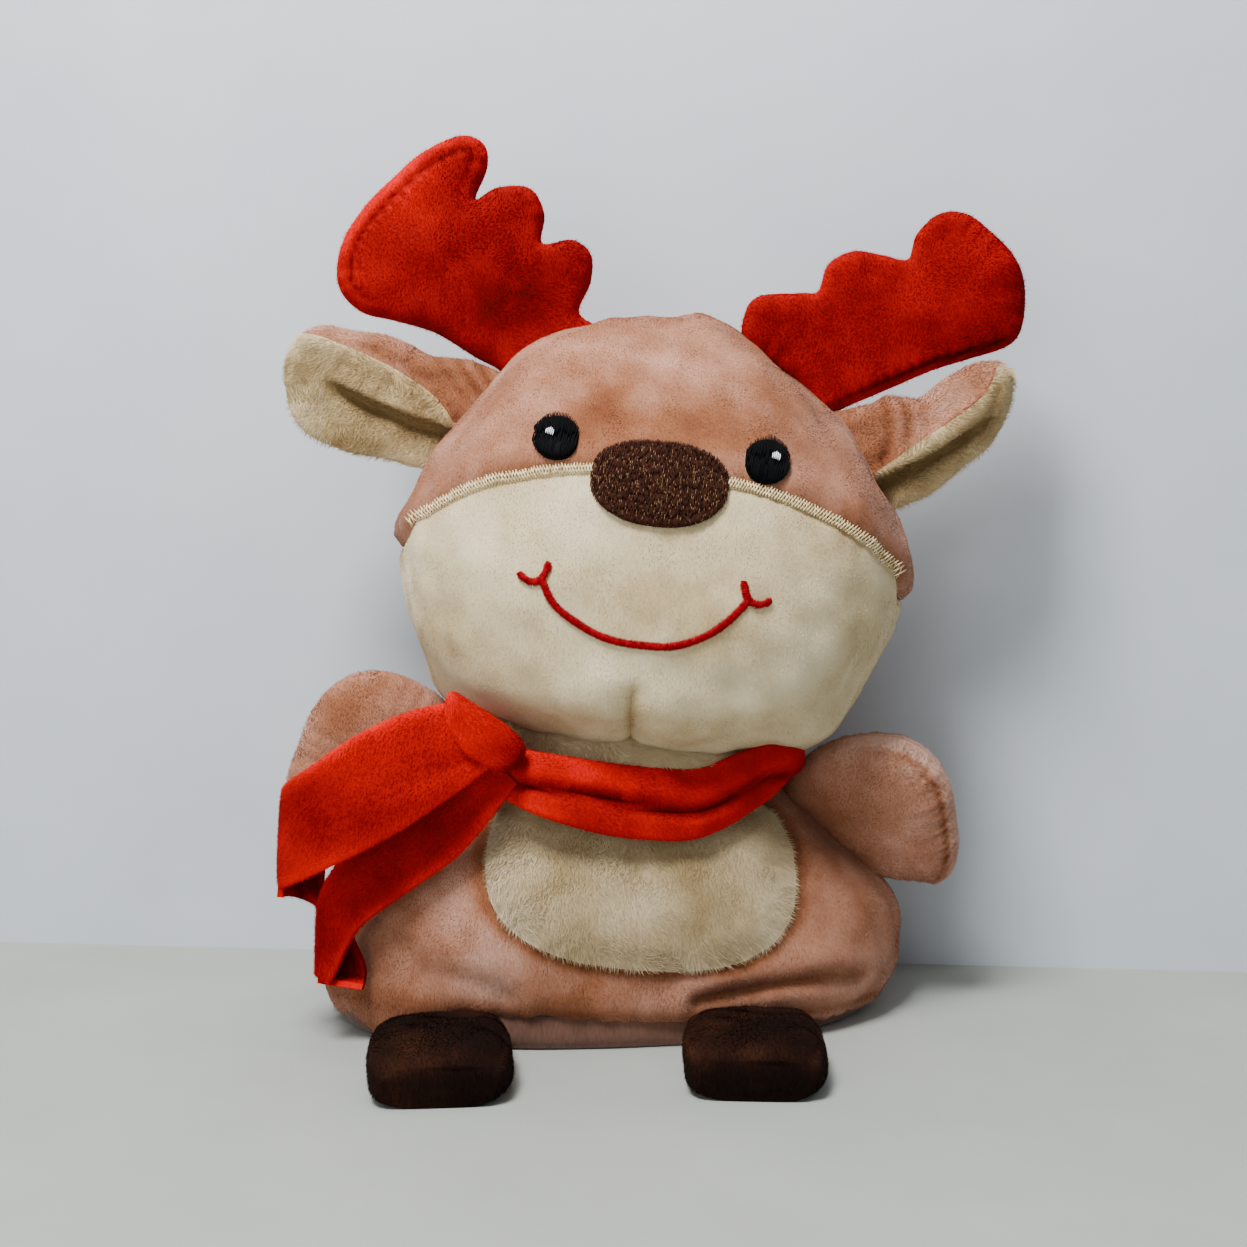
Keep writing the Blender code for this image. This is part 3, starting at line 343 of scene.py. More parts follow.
def object_noise(tree: bpy.types.NodeTree, size: float, detail: float, stretch: Sequence[float]):
    """Noise on the piece's own metres.

    Args:
        tree: The material's tree.
        size: From spot to spot, in millimetres.
        detail: Finer octaves.
        stretch: How many times longer the spots are along each axis.

    Returns:
        The noise node.
    """
    place = add_node(tree, "ShaderNodeTexCoord")
    scale = tuple(1.0 / (size * MM * s) for s in stretch)
    mapped = add_node(tree, "ShaderNodeMapping", inputs={"Vector": place.outputs["Object"], "Scale": scale})
    links = {"Vector": mapped.outputs["Vector"], "Scale": 1.0, "Detail": detail, "Roughness": 0.6}
    return add_node(tree, "ShaderNodeTexNoise", inputs=links)


@dataclass(frozen=True)
class Velboa:
    """Short-napped polyester plush, knitted and sheared. The nap lies in patches that catch the light."""

    name: str
    shades: tuple[str, str, str, str]
    sheen: float = 0.12

    def backing(self) -> bpy.types.Material:
        """The knitted ground between the fibres, with the nap's brushed patches, a fine grain and the painted shade and
        highlights of the tone attribute.
        """
        material, tree, shader = new_material(f"{self.name}_velboa")
        nap = object_noise(tree, 24.0, 3.0, (1.0, 1.0, 1.0))
        grain = object_noise(tree, 0.6, 3.0, (1.0, 1.0, 2.0))
        # The tone attribute carries painted shade in seams, creases and hollows and painted highlights on rims and
        # bulges.
        tone = add_node(tree, "ShaderNodeAttribute", {"attribute_name": "tone"})
        mix = -0.12
        for pattern, weight in ((nap, 1.1), (grain, 0.3), (tone, 0.26)):
            inputs = {0: pattern.outputs["Fac"], 1: weight, 2: mix}
            mix = add_node(tree, "ShaderNodeMath", {"operation": "MULTIPLY_ADD"}, inputs).outputs[0]
        stops = list(zip((0.12, 0.42, 0.66, 0.95), self.shades))
        ramp = add_node(tree, "ShaderNodeValToRGB", inputs={"Fac": mix}, stops=stops)
        tree.links.new(ramp.outputs["Color"], shader.inputs["Base Color"])
        bump = add_node(
            tree, "ShaderNodeBump", inputs={"Height": grain.outputs["Fac"], "Strength": 0.45, "Distance": 0.25 * MM}
        )
        tree.links.new(bump.outputs["Normal"], shader.inputs["Normal"])
        shader.inputs["Roughness"].default_value = 0.9
        shader.inputs["Sheen Weight"].default_value = self.sheen
        shader.inputs["Specular IOR Level"].default_value = 0.1
        return material

    def fibres(self) -> list[bpy.types.Material]:
        """The nap itself: thousands of fibres, each of one of seven shades, so that brushed patches show."""
        table = np.array([linear(shade) for shade in self.shades])
        made = []
        for index in range(NAP_SHADES):
            material, _, shader = new_material(f"{self.name}_nap_{index}")
            place = 3.0 * index / (NAP_SHADES - 1)
            mixed = [float(np.interp(place, range(4), table[:, k])) for k in range(4)]
            shader.inputs["Base Color"].default_value = mixed
            shader.inputs["Roughness"].default_value = 0.9
            shader.inputs["Sheen Weight"].default_value = self.sheen
            shader.inputs["Specular IOR Level"].default_value = 0.12
            made.append(material)
        return made


@dataclass(frozen=True)
class RayonThread:
    """Glossy embroidery thread. Its twist gives each stitch fine slanting glints."""

    name: str
    dark: str
    light: str
    gloss: float = 0.38

    def material(self) -> bpy.types.Material:
        """The thread's colour varies along it, and its twist shows as fine ribs."""
        material, tree, shader = new_material(f"{self.name}_rayon_thread")
        wear = object_noise(tree, 1.1, 2.0, (1.0, 1.0, 1.0))
        stops = ((DARK_STOP, self.dark), (LIGHT_STOP, self.light))
        tones = add_node(tree, "ShaderNodeValToRGB", inputs={"Fac": wear.outputs["Fac"]}, stops=stops)
        tree.links.new(tones.outputs["Color"], shader.inputs["Base Color"])
        twist = object_noise(tree, 0.25, 1.0, (1.0, 1.0, 1.0))
        bump = add_node(
            tree, "ShaderNodeBump", inputs={"Height": twist.outputs["Fac"], "Strength": 0.35, "Distance": 0.1 * MM}
        )
        tree.links.new(bump.outputs["Normal"], shader.inputs["Normal"])
        shader.inputs["Roughness"].default_value = self.gloss
        shader.inputs["Specular IOR Level"].default_value = 0.25 * (1.0 - self.gloss)
        return material


@dataclass(frozen=True)
class PlainCloth:
    """Cloth without a nap: the base's tricot knit, the pellet bag's calico or fibre filling."""

    name: str
    dark: str
    light: str
    rib: float
    weave: Weave = Weave.KNIT

    def material(self) -> bpy.types.Material:
        """Fine ribs or felted clumps, with soft blotches of wear."""
        material, tree, shader = new_material(f"{self.name}_{self.weave.value}")
        stretch = (1.0, 1.0, 4.0) if self.weave is Weave.KNIT else (1.0, 1.0, 1.0)
        rib = object_noise(tree, self.rib, 3.0, stretch)
        blotch = object_noise(tree, 14.0, 2.0, (1.0, 1.0, 1.0))
        half = add_node(tree, "ShaderNodeMath", {"operation": "MULTIPLY"}, {0: rib.outputs["Fac"], 1: 0.4})
        inputs = {0: blotch.outputs["Fac"], 1: 0.6, 2: half.outputs[0]}
        mix = add_node(tree, "ShaderNodeMath", {"operation": "MULTIPLY_ADD"}, inputs)
        stops = ((DARK_STOP, self.dark), (LIGHT_STOP, self.light))
        tones = add_node(tree, "ShaderNodeValToRGB", inputs={"Fac": mix.outputs[0]}, stops=stops)
        tree.links.new(tones.outputs["Color"], shader.inputs["Base Color"])
        bump = add_node(
            tree, "ShaderNodeBump", inputs={"Height": rib.outputs["Fac"], "Strength": 0.6, "Distance": 0.3 * MM}
        )
        tree.links.new(bump.outputs["Normal"], shader.inputs["Normal"])
        shader.inputs["Roughness"].default_value = 0.85
        shader.inputs["Sheen Weight"].default_value = 0.2
        return material


@dataclass(frozen=True)
class Paint:
    """Matt emulsion paint on the board that the toy stands on and in front of."""

    name: str
    dark: str
    light: str

    def material(self) -> bpy.types.Material:
        """Almost even, with the faint cloudiness of rolled paint."""
        material, tree, shader = new_material(f"{self.name}_emulsion")
        cloud = object_noise(tree, 60.0, 3.0, (1.0, 1.0, 1.0))
        stops = ((DARK_STOP, self.dark), (LIGHT_STOP, self.light))
        tones = add_node(tree, "ShaderNodeValToRGB", inputs={"Fac": cloud.outputs["Fac"]}, stops=stops)
        tree.links.new(tones.outputs["Color"], shader.inputs["Base Color"])
        shader.inputs["Roughness"].default_value = 0.7
        return material


TAN = Velboa("tan", ("#6a371c", "#8e583b", "#ab7860", "#c8a08e"))
CREAM = Velboa("cream", ("#836a42", "#b99f73", "#d6c39b", "#e9dbba"))
BELLY = Velboa("belly_cream", ("#6d5838", "#98825c", "#b5a17e", "#cfc0a2"))
BROWN = Velboa("brown", ("#060200", "#0f0401", "#1e0b04", "#3a1f11"), 0.0)
RED = Velboa("red", ("#520000", "#980000", "#ba0000", "#e00402"), 0.0)
ROSE = Velboa("antler_red", ("#460000", "#800000", "#a20000", "#d40302"), 0.0)

NOSE_THREAD = RayonThread("nose", "#1c0c05", "#46251a", 0.7)
SPECK_THREAD = RayonThread("nose_speck", "#5c3a24", "#9a7854", 0.6)
EYE_THREAD = RayonThread("eye", "#010102", "#060709", 0.7)
GLINT_THREAD = RayonThread("glint", "#c8ccd2", "#f4f5f7", 0.35)
GOLD_THREAD = RayonThread("gold", "#b8985a", "#fff3c8", 0.3)
SMILE_THREAD = RayonThread("smile", "#6a000a", "#a80014", 0.8)

BASE_CLOTH = PlainCloth("base", "#4c2b1d", "#77503f", 0.7)
PELLET_CLOTH = PlainCloth("pellet_bag", "#b9b3a2", "#d8d3c4", 0.6)
FILLING = PlainCloth("filling", "#d9d7cf", "#f3f2ee", 2.2, Weave.FELT)
WALL_PAINT = Paint("wall", "#c6ccd4", "#cdd3da")
FLOOR_PAINT = Paint("floor", "#a0a49d", "#a8aca5")


# Geometry Nodes for nap and thread


MATHS = "ShaderNodeMath"
VECTORS = "ShaderNodeVectorMath"
CHANCE = "FunctionNodeRandomValue"
ATTRIBUTE = "GeometryNodeInputNamedAttribute"


class NodeRecipe:
    """A Geometry Nodes tree with named inputs, and the way to run it once and keep the plain mesh."""

    def __init__(self, name: str) -> None:
        """Starts the tree with its geometry sockets."""
        self.tree = bpy.data.node_groups.new(name, "GeometryNodeTree")
        self.ids: dict[str, str] = {}
        self.socket("Geometry", "NodeSocketGeometry")
        self.tree.interface.new_socket("Geometry", in_out="OUTPUT", socket_type="NodeSocketGeometry")
        self.source = self.tree.nodes.new("NodeGroupInput")

    def socket(self, name: str, kind: str) -> None:
        """Adds a named input."""
        item = self.tree.interface.new_socket(name, in_out="INPUT", socket_type=kind)
        self.ids[name] = item.identifier

    def out(
        self, kind: str, inputs: dict | None = None, output: int | str = 0, **settings: str
    ) -> bpy.types.NodeSocket:
        """Adds a node of any kind and gives one of its outputs.

        Args:
            kind: The node's type.
            inputs: Its sockets, each with a value or with the socket that feeds it.
            output: Which output.
            settings: The node's own options.

        Returns:
            The output's socket.
        """
        return add_node(self.tree, kind, settings, inputs).outputs[output]

    def finish(self, geometry) -> None:
        """Links the last geometry to the tree's output."""
        output = self.tree.nodes.new("NodeGroupOutput")
        self.tree.links.new(geometry, output.inputs["Geometry"])

    def run(self, mesh: bpy.types.Mesh, name: str, inputs: dict) -> bpy.types.Object:
        """Runs the tree on a mesh.

        Args:
            mesh: What the tree starts from.
            name: The new piece's name.
            inputs: The named inputs and their values.

        Returns:
            A piece with a plain mesh.
        """
        carrier = bpy.data.objects.new(f"{name}_carrier", mesh)
        bpy.context.scene.collection.objects.link(carrier)
        modifier = carrier.modifiers.new(name, "NODES")
        modifier.node_group = self.tree
        for key, value in inputs.items():
            modifier[self.ids[key]] = value
        graph = bpy.context.evaluated_depsgraph_get()
        result = bpy.data.meshes.new_from_object(carrier.evaluated_get(graph))
        result.name = name
        carrier.modifiers.remove(modifier)
        bpy.data.objects.remove(carrier, do_unlink=True)
        bpy.data.meshes.remove(mesh)
        for attribute in [a.name for a in result.attributes if a.name in ("comb", "growth", "tone", "shade")]:
            result.attributes.remove(result.attributes[attribute])
        piece = bpy.data.objects.new(name, result)
        bpy.context.scene.collection.objects.link(piece)
        return piece


class NapRecipe(NodeRecipe):
    """Fibres scattered on a cloth. They lean along its comb and take one of seven shades, set by brushed patches, by
    the painted shade and highlights of the tone attribute and by chance.
    """

    def __init__(self) -> None:
        """Lays out the nap's nodes."""
        super().__init__("velboa_nap")
        for name in ("Density", "Fibre Length", "Fibre Width", "Lean", "Scatter", "Nap Patch"):
            self.socket(name, "NodeSocketFloat")
        self.socket("Seed", "NodeSocketInt")
        for index in range(NAP_SHADES):
            self.socket(f"Shade {index}", "NodeSocketMaterial")
        given = self.source.outputs
        tree = self.tree
        growth = self.out(ATTRIBUTE, {"Name": "growth"}, "Attribute", data_type="FLOAT")
        capped = self.out(MATHS, {0: growth, 1: 1.0}, operation="MINIMUM")
        thick = self.out(MATHS, {0: given["Density"], 1: capped}, operation="MULTIPLY")
        points = add_node(
            tree,
            "GeometryNodeDistributePointsOnFaces",
            {"distribute_method": "RANDOM"},
            {"Mesh": given["Geometry"], "Density": thick, "Seed": given["Seed"]},
        )
        jitter = add_node(
            tree,
            "FunctionNodeRandomValue",
            {"data_type": "FLOAT_VECTOR"},
            {0: (-1.0, -1.0, -1.0), 1: (1.0, 1.0, 1.0), "Seed": 3},
        )
        comb = self.out(ATTRIBUTE, {"Name": "comb"}, "Attribute", data_type="FLOAT_VECTOR")
        laid = self.out(VECTORS, {0: comb, "Scale": given["Lean"]}, operation="SCALE")
        stray = self.out(VECTORS, {0: jitter.outputs[0], "Scale": given["Scatter"]}, operation="SCALE")
        leaning = self.out(VECTORS, {0: points.outputs["Normal"], 1: laid}, operation="ADD")
        way = self.out(VECTORS, {0: leaning, 1: stray}, operation="ADD")
        size = self.out(MATHS, {0: 1.0, 1: given["Nap Patch"]}, operation="DIVIDE")
        spot = self.out("GeometryNodeInputPosition")
        patch = self.out("ShaderNodeTexNoise", {"Vector": spot, "Scale": size, "Detail": 2.0})
        middling = self.out(MATHS, {0: patch, 1: 0.5}, operation="SUBTRACT")
        patchy = self.out(MATHS, {0: middling, 1: 3.2}, operation="MULTIPLY")
        # The tone attribute's painted shade and highlights move each fibre to a darker or lighter shade.
        tone = self.out(ATTRIBUTE, {"Name": "tone"}, "Attribute", data_type="FLOAT")
        toned = self.out(MATHS, {0: patchy, 1: tone}, operation="ADD")
        varied = self.out(CHANCE, {2: 1.35, 3: 2.15, "Seed": 5}, 1, data_type="FLOAT")
        shade = self.out(MATHS, {0: toned, 1: varied}, operation="ADD")
        limits = (("MULTIPLY", (NAP_SHADES - 1) / 3.0), ("MINIMUM", NAP_SHADES - 0.5), ("MAXIMUM", 0.0), ("FLOOR", 0.0))
        for operation, number in limits:
            shade = self.out(MATHS, {0: shade, 1: number}, operation=operation)
        stored = add_node(
            tree,
            "GeometryNodeStoreNamedAttribute",
            {"data_type": "FLOAT", "domain": "POINT"},
            {"Geometry": points.outputs["Points"], "Name": "shade", "Value": shade},
        )
        turned = add_node(tree, "FunctionNodeAlignRotationToVector", {"axis": "Z"}, {"Vector": way})
        fibre = add_node(
            tree,
            "GeometryNodeMeshCone",
            {"fill_type": "NGON"},
            {"Vertices": 3, "Side Segments": 1, "Radius Top": 0.0, "Radius Bottom": 0.5, "Depth": 1.0},
        )
        varied = self.out(CHANCE, {2: 0.6, 3: 1.3, "Seed": 7}, 1, data_type="FLOAT")
        share = self.out(MATHS, {0: growth, 1: varied}, operation="MULTIPLY")
        length = self.out(MATHS, {0: given["Fibre Length"], 1: share}, operation="MULTIPLY")
        varied = self.out(CHANCE, {2: 0.7, 3: 1.3, "Seed": 9}, 1, data_type="FLOAT")
        width = self.out(MATHS, {0: given["Fibre Width"], 1: varied}, operation="MULTIPLY")
        size_of = add_node(tree, "ShaderNodeCombineXYZ", inputs={"X": width, "Y": width, "Z": length})
        grown = add_node(
            tree,
            "GeometryNodeInstanceOnPoints",
            inputs={
                "Points": stored.outputs[0],
                "Instance": fibre.outputs["Mesh"],
                "Rotation": turned.outputs[0],
                "Scale": size_of.outputs[0],
            },
        )
        last = add_node(tree, "GeometryNodeRealizeInstances", inputs={"Geometry": grown.outputs[0]}).outputs[0]
        for index in range(NAP_SHADES):
            inputs = {"Geometry": last, "Material": given[f"Shade {index}"]}
            if index:
                stored_shade = self.out(ATTRIBUTE, {"Name": "shade"}, "Attribute", data_type="FLOAT")
                picked = {0: stored_shade, 1: index - 0.5}
                chosen = add_node(tree, "FunctionNodeCompare", {"operation": "GREATER_THAN"}, picked)
                inputs["Selection"] = chosen.outputs[0]
            last = add_node(tree, "GeometryNodeSetMaterial", inputs=inputs).outputs[0]
        self.finish(last)


class StitchRecipe(NodeRecipe):
    """Arched stitches of thread, one on each point, along and out as the points say."""

    def __init__(self) -> None:
        """Lays out the stitches' nodes."""
        super().__init__("embroidery_stitches")
        for name in ("Thread Width", "Arch"):
            self.socket(name, "NodeSocketFloat")
        self.socket("Thread", "NodeSocketMaterial")
        given = self.source.outputs
        tree = self.tree
        strand = add_node(
            tree,
            "GeometryNodeMeshCylinder",
            {"fill_type": "NGON"},
            {"Vertices": 5, "Side Segments": 4, "Radius": 0.5, "Depth": 1.0},
        )
        spot = add_node(tree, "ShaderNodeSeparateXYZ", inputs={0: self.out("GeometryNodeInputPosition")}).outputs
        end = self.out(MATHS, {0: spot[2], 1: 0.0}, operation="ABSOLUTE")
        for operation in ("MULTIPLY", "POWER"):
            end = self.out(MATHS, {0: end, 1: 2.0}, operation=operation)
        fall = self.out(MATHS, {0: 1.0, 1: end}, operation="SUBTRACT")
        rise = self.out(MATHS, {0: given["Arch"], 1: fall}, operation="MULTIPLY")
        taper = self.out(MATHS, {0: end, 1: 2.0}, operation="POWER")
        taper = self.out(MATHS, {0: taper, 1: 0.5}, operation="MULTIPLY")
        thin = self.out(MATHS, {0: 1.0, 1: taper}, operation="SUBTRACT")
        across = self.out(MATHS, {0: spot[0], 1: thin}, operation="MULTIPLY")
        across = self.out(MATHS, {0: across, 1: rise}, operation="ADD")
        deep = self.out(MATHS, {0: spot[1], 1: thin}, operation="MULTIPLY")
        bent = add_node(tree, "ShaderNodeCombineXYZ", inputs={"X": across, "Y": deep, "Z": spot[2]})
        arched = add_node(
            tree, "GeometryNodeSetPosition", inputs={"Geometry": strand.outputs["Mesh"], "Position": bent.outputs[0]}
        )
        along = self.out(ATTRIBUTE, {"Name": "along"}, "Attribute", data_type="FLOAT_VECTOR")
        out = self.out(ATTRIBUTE, {"Name": "out"}, "Attribute", data_type="FLOAT_VECTOR")
        first = add_node(tree, "FunctionNodeAlignRotationToVector", {"axis": "Z"}, {"Vector": along})
        second = add_node(
            tree,
            "FunctionNodeAlignRotationToVector",
            {"axis": "X", "pivot_axis": "Z"},
            {"Rotation": first.outputs[0], "Vector": out},
        )
        width = given["Thread Width"]
        reach = self.out(ATTRIBUTE, {"Name": "reach"}, "Attribute", data_type="FLOAT")
        size_of = add_node(tree, "ShaderNodeCombineXYZ", inputs={"X": width, "Y": width, "Z": reach})
        laid = add_node(
            tree,
            "GeometryNodeInstanceOnPoints",
            inputs={
                "Points": given["Geometry"],
                "Instance": arched.outputs[0],
                "Rotation": second.outputs[0],
                "Scale": size_of.outputs[0],
            },
        )
        plain = add_node(tree, "GeometryNodeRealizeInstances", inputs={"Geometry": laid.outputs[0]})
        smooth = add_node(tree, "GeometryNodeSetShadeSmooth", inputs={"Geometry": plain.outputs[0]})
        done = add_node(
            tree, "GeometryNodeSetMaterial", inputs={"Geometry": smooth.outputs[0], "Material": given["Thread"]}
        )
        self.finish(done.outputs[0])


# Cloth surfaces


def grid_normals(grid: Array, closed: bool) -> Array:
    """Directions out of a grid of points, by its own winding.

    Args:
        grid: Rows by columns of points.
        closed: Whether the columns meet.

    Returns:
        A direction for each point.
    """
    down = np.gradient(grid, axis=0)
    if closed:
        across = np.roll(grid, -1, axis=1) - np.roll(grid, 1, axis=1)
    else:
        across = np.gradient(grid, axis=1)
    return unit(np.cross(down, across))


def grid_faces(rows: int, columns: int, start: int = 0, closed: bool = False) -> list[tuple[int, ...]]:
    """Quads over a grid of vertices, row by row.

    Args:
        rows: How many rows.
        columns: How many vertices to a row.
        start: The first vertex's number.
        closed: Whether the columns meet.

    Returns:
        The faces.
    """
    faces = []
    for i in range(rows - 1):
        for j in range(columns if closed else columns - 1):
            k = (j + 1) % columns
            first, second = start + i * columns, start + (i + 1) * columns
            faces.append((first + j, first + k, second + k, second + j))
    return faces


@dataclass
class Skin:
    """The outer face of a piece of cloth as a grid, with how its nap lies.

    Attributes:
        points: Rows by columns of points.
        out: Directions out of the cloth.
        closed: Whether the columns meet, as round a tube or a disc.
        comb: Which way the nap is brushed.
        growth: The nap's length and thickness, 1 as sheared.
        tone: Shades lighter or darker: the cloth's own tone, with painted shade in seams, creases and hollows and
            painted highlights on rims and bulges.
        faces: Its faces, where it isn't a plain grid.
    """

    points: Array
    out: Array
    closed: bool = False
    comb: Array | None = None
    growth: Array | None = None
    tone: Array | None = None
    faces: list | None = None

    @classmethod
    def of(cls, points: Array, facing: Array, closed: bool = False, faces: list | None = None) -> "Skin":
        """A skin whose directions out agree with a given facing."""
        normals = grid_normals(points, closed) if faces is None else face_normals(points, faces)
        if np.sum(normals * facing) < 0.0:
            normals = -normals
        return cls(points, normals, closed, faces=faces)

    def raised(self, amount: Array) -> "Skin":
        """Moves the cloth out by an amount in metres and finds its directions again."""
        points = self.points + self.out * amount[..., None]
        return Skin.of(points, self.out, self.closed, self.faces)

    def placed(self, place: Placement) -> "Skin":
        """The same cloth in the toy's own metres."""
        moved = Skin.of(place.points(self.points), self.out @ place.turn.T, self.closed, self.faces)
        moved.growth, moved.tone = self.growth, self.tone
        moved.comb = None if self.comb is None else self.comb @ place.turn.T
        return moved

    def leant(self) -> "Skin":
        """The same cloth, leaning with the torso."""
        return Skin(lean_over(self.points), self.out, self.closed, self.comb, self.growth, self.tone)

    def part(self, kept: Array) -> "Skin":
        """Some of the faces of a skin of triangles, with only their points.

        Args:
            kept: For each face, whether it stays.

        Returns:
            The part.
        """
        table = np.array(self.faces)[kept]
        used, places = np.unique(table, return_inverse=True)
        piece = Skin(self.points[used], self.out[used], faces=[tuple(f) for f in places.reshape(table.shape).tolist()])
        for key in ("comb", "growth", "tone"):
            values = getattr(self, key)
            setattr(piece, key, None if values is None else values[used])
        return piece

    def brushed(self, way: Array, swirl: float, seed: int) -> "Skin":
        """Lays the nap along a direction, with brushed swirls.

        Args:
            way: The direction, for the whole cloth or for each point.
            swirl: How much it strays.
            seed: Fixes the swirls.

        Returns:
            The skin itself.
        """
        strays = np.stack([lumps(self.points, 16.0 * MM, seed + k) for k in range(3)], axis=-1)
        laid = unit(np.broadcast_to(way, self.points.shape)) + swirl * strays
        laid = laid - self.out * np.sum(laid * self.out, axis=-1, keepdims=True)
        self.comb = unit(laid)
        return self

    def grid_mesh(self, name: str) -> bpy.types.Mesh:
        """The outer face alone, with the nap's attributes, for the nap recipe.

        Args:
            name: The mesh's name.

        Returns:
            The mesh.
        """
        faces = self.faces or grid_faces(*self.points.shape[:2], closed=self.closed)
        vertices = self.points.reshape(-1, 3)
        first = vertices[list(faces[len(faces) // 2])]
        normal = np.cross(first[1] - first[0], first[2] - first[0])
        if normal @ self.out.reshape(-1, 3)[faces[len(faces) // 2][0]] < 0.0:
            faces = [face[::-1] for face in faces]
        mesh = bpy.data.meshes.new(name)
        mesh.from_pydata(vertices.tolist(), [], faces)
        flat = np.ones(len(vertices))
        growth = flat if self.growth is None else self.growth.reshape(-1)
        tone = 0.0 * flat if self.tone is None else self.tone.reshape(-1)
        comb = mesh.attributes.new("comb", "FLOAT_VECTOR", "POINT")
        comb.data.foreach_set("vector", self.comb.reshape(-1).astype(np.float32))
        for key, values in (("growth", growth), ("tone", tone)):
            mesh.attributes.new(key, "FLOAT", "POINT").data.foreach_set("value", values.astype(np.float32))
        return mesh


def face_normals(points: Array, faces: list) -> Array:
    """Directions out of a mesh at its points, by its own winding. All its faces have as many corners.

    Args:
        points: The mesh's points.
        faces: Its faces.

    Returns:
        A direction for each point.
    """
    table = np.array(faces)
    corners = points[table]
    normals = np.cross(corners[:, 1] - corners[:, 0], corners[:, 2] - corners[:, 0])
    total = np.zeros_like(points)
    for corner in range(table.shape[1]):
        np.add.at(total, table[:, corner], normals)
    return unit(total)


def border(faces: list) -> list[tuple[int, int]]:
    """The sides that only one face has."""
    sides = {(a, b) for face in faces for a, b in zip(face, face[1:] + face[:1])}
    return sorted((a, b) for a, b in sides if (b, a) not in sides)


def solid_mesh(
    name: str, vertices: Array, faces: list, material: bpy.types.Material, tones: Sequence[float] | None = None
) -> bpy.types.Object:
    """A closed, smooth mesh as a named piece.

    Args:
        name: The piece's name.
        vertices: Its points, in metres.
        faces: Its faces.
        material: Its finish.
        tones: Shades lighter or darker at each point, painted shade and highlights among them.

    Returns:
        The piece.
    """
    mesh = bpy.data.meshes.new(name)
    mesh.from_pydata(np.asarray(vertices).tolist(), [], faces)
    if tones is not None:
        mesh.attributes.new("tone", "FLOAT", "POINT").data.foreach_set("value", np.asarray(tones, np.float32))
    edit = bmesh.new()
    edit.from_mesh(mesh)
    bmesh.ops.recalc_face_normals(edit, faces=edit.faces)
    if edit.calc_volume(signed=True) < 0.0:
        bmesh.ops.reverse_faces(edit, faces=edit.faces)
    edit.to_mesh(mesh)
    edit.free()
    mesh.shade_smooth()
    mesh.set_sharp_from_angle(angle=math.radians(60.0))
    mesh.materials.append(material)
    piece = bpy.data.objects.new(name, mesh)
    bpy.context.scene.collection.objects.link(piece)
    return piece


def cloth_mesh(name: str, skin: Skin, material: bpy.types.Material, thickness: float = CLOTH) -> bpy.types.Object:
    """A closed layer of cloth under a skin: two walls and the rim between them.

    Args:
        name: The piece's name.
        skin: The outer face. A closed one ends in a middle point after its last row.
        material: The finish.
        thickness: Between the walls.

    Returns:
        The piece.
    """
    tone = np.zeros(skin.points.shape[:-1]) if skin.tone is None else skin.tone
    rows, columns = skin.points.shape[0], skin.points.shape[-2]
    faces = list(skin.faces or grid_faces(rows, columns, closed=skin.closed))
    walls, tones = [], tone.reshape(-1).tolist()
    for wall in (skin.points, skin.points - skin.out * thickness):
        points = wall.reshape(-1, 3)
        walls.append(np.vstack([points, wall[-1].mean(axis=0)]) if skin.closed else points)
    if skin.closed:
        last = (rows - 1) * columns
        faces += [(last + j, last + (j + 1) % columns, rows * columns) for j in range(columns)]
        tones.append(float(tone[-1].mean()))
    count = len(walls[0])
    back = [tuple(count + corner for corner in face[::-1]) for face in faces]
    rim = [(b, a, count + a, count + b) for a, b in border(faces)]
    return solid_mesh(name, np.vstack(walls), faces + back + rim, material, tones + tones)


def tube_mesh(name: str, skin: Skin, material: bpy.types.Material, ring: bool = False) -> bpy.types.Object:
    """A closed solid through a stack of rings.

    Args:
        name: The piece's name.
        skin: Rings of points, one to a row.
        material: The finish.
        ring: Whether the last row meets the first, instead of both ends being closed.

    Returns:
        The piece.
    """
    rows, columns = skin.points.shape[:2]
    vertices = skin.points.reshape(-1, 3).tolist()
    tones = skin.tone.reshape(-1).tolist()
    faces = grid_faces(rows, columns, closed=True)
    last = (rows - 1) * columns
    if ring:
        faces += [(last + k, last + (k + 1) % columns, (k + 1) % columns, k) for k in range(columns)]
    else:
        for row, start in ((skin.points[0], 0), (skin.points[-1], last)):
            faces += [(start + j, start + (j + 1) % columns, len(vertices)) for j in range(columns)]
            vertices.append(row.mean(axis=0).tolist())
            tones.append(tones[start])
    return solid_mesh(name, np.array(vertices), faces, material, tones)


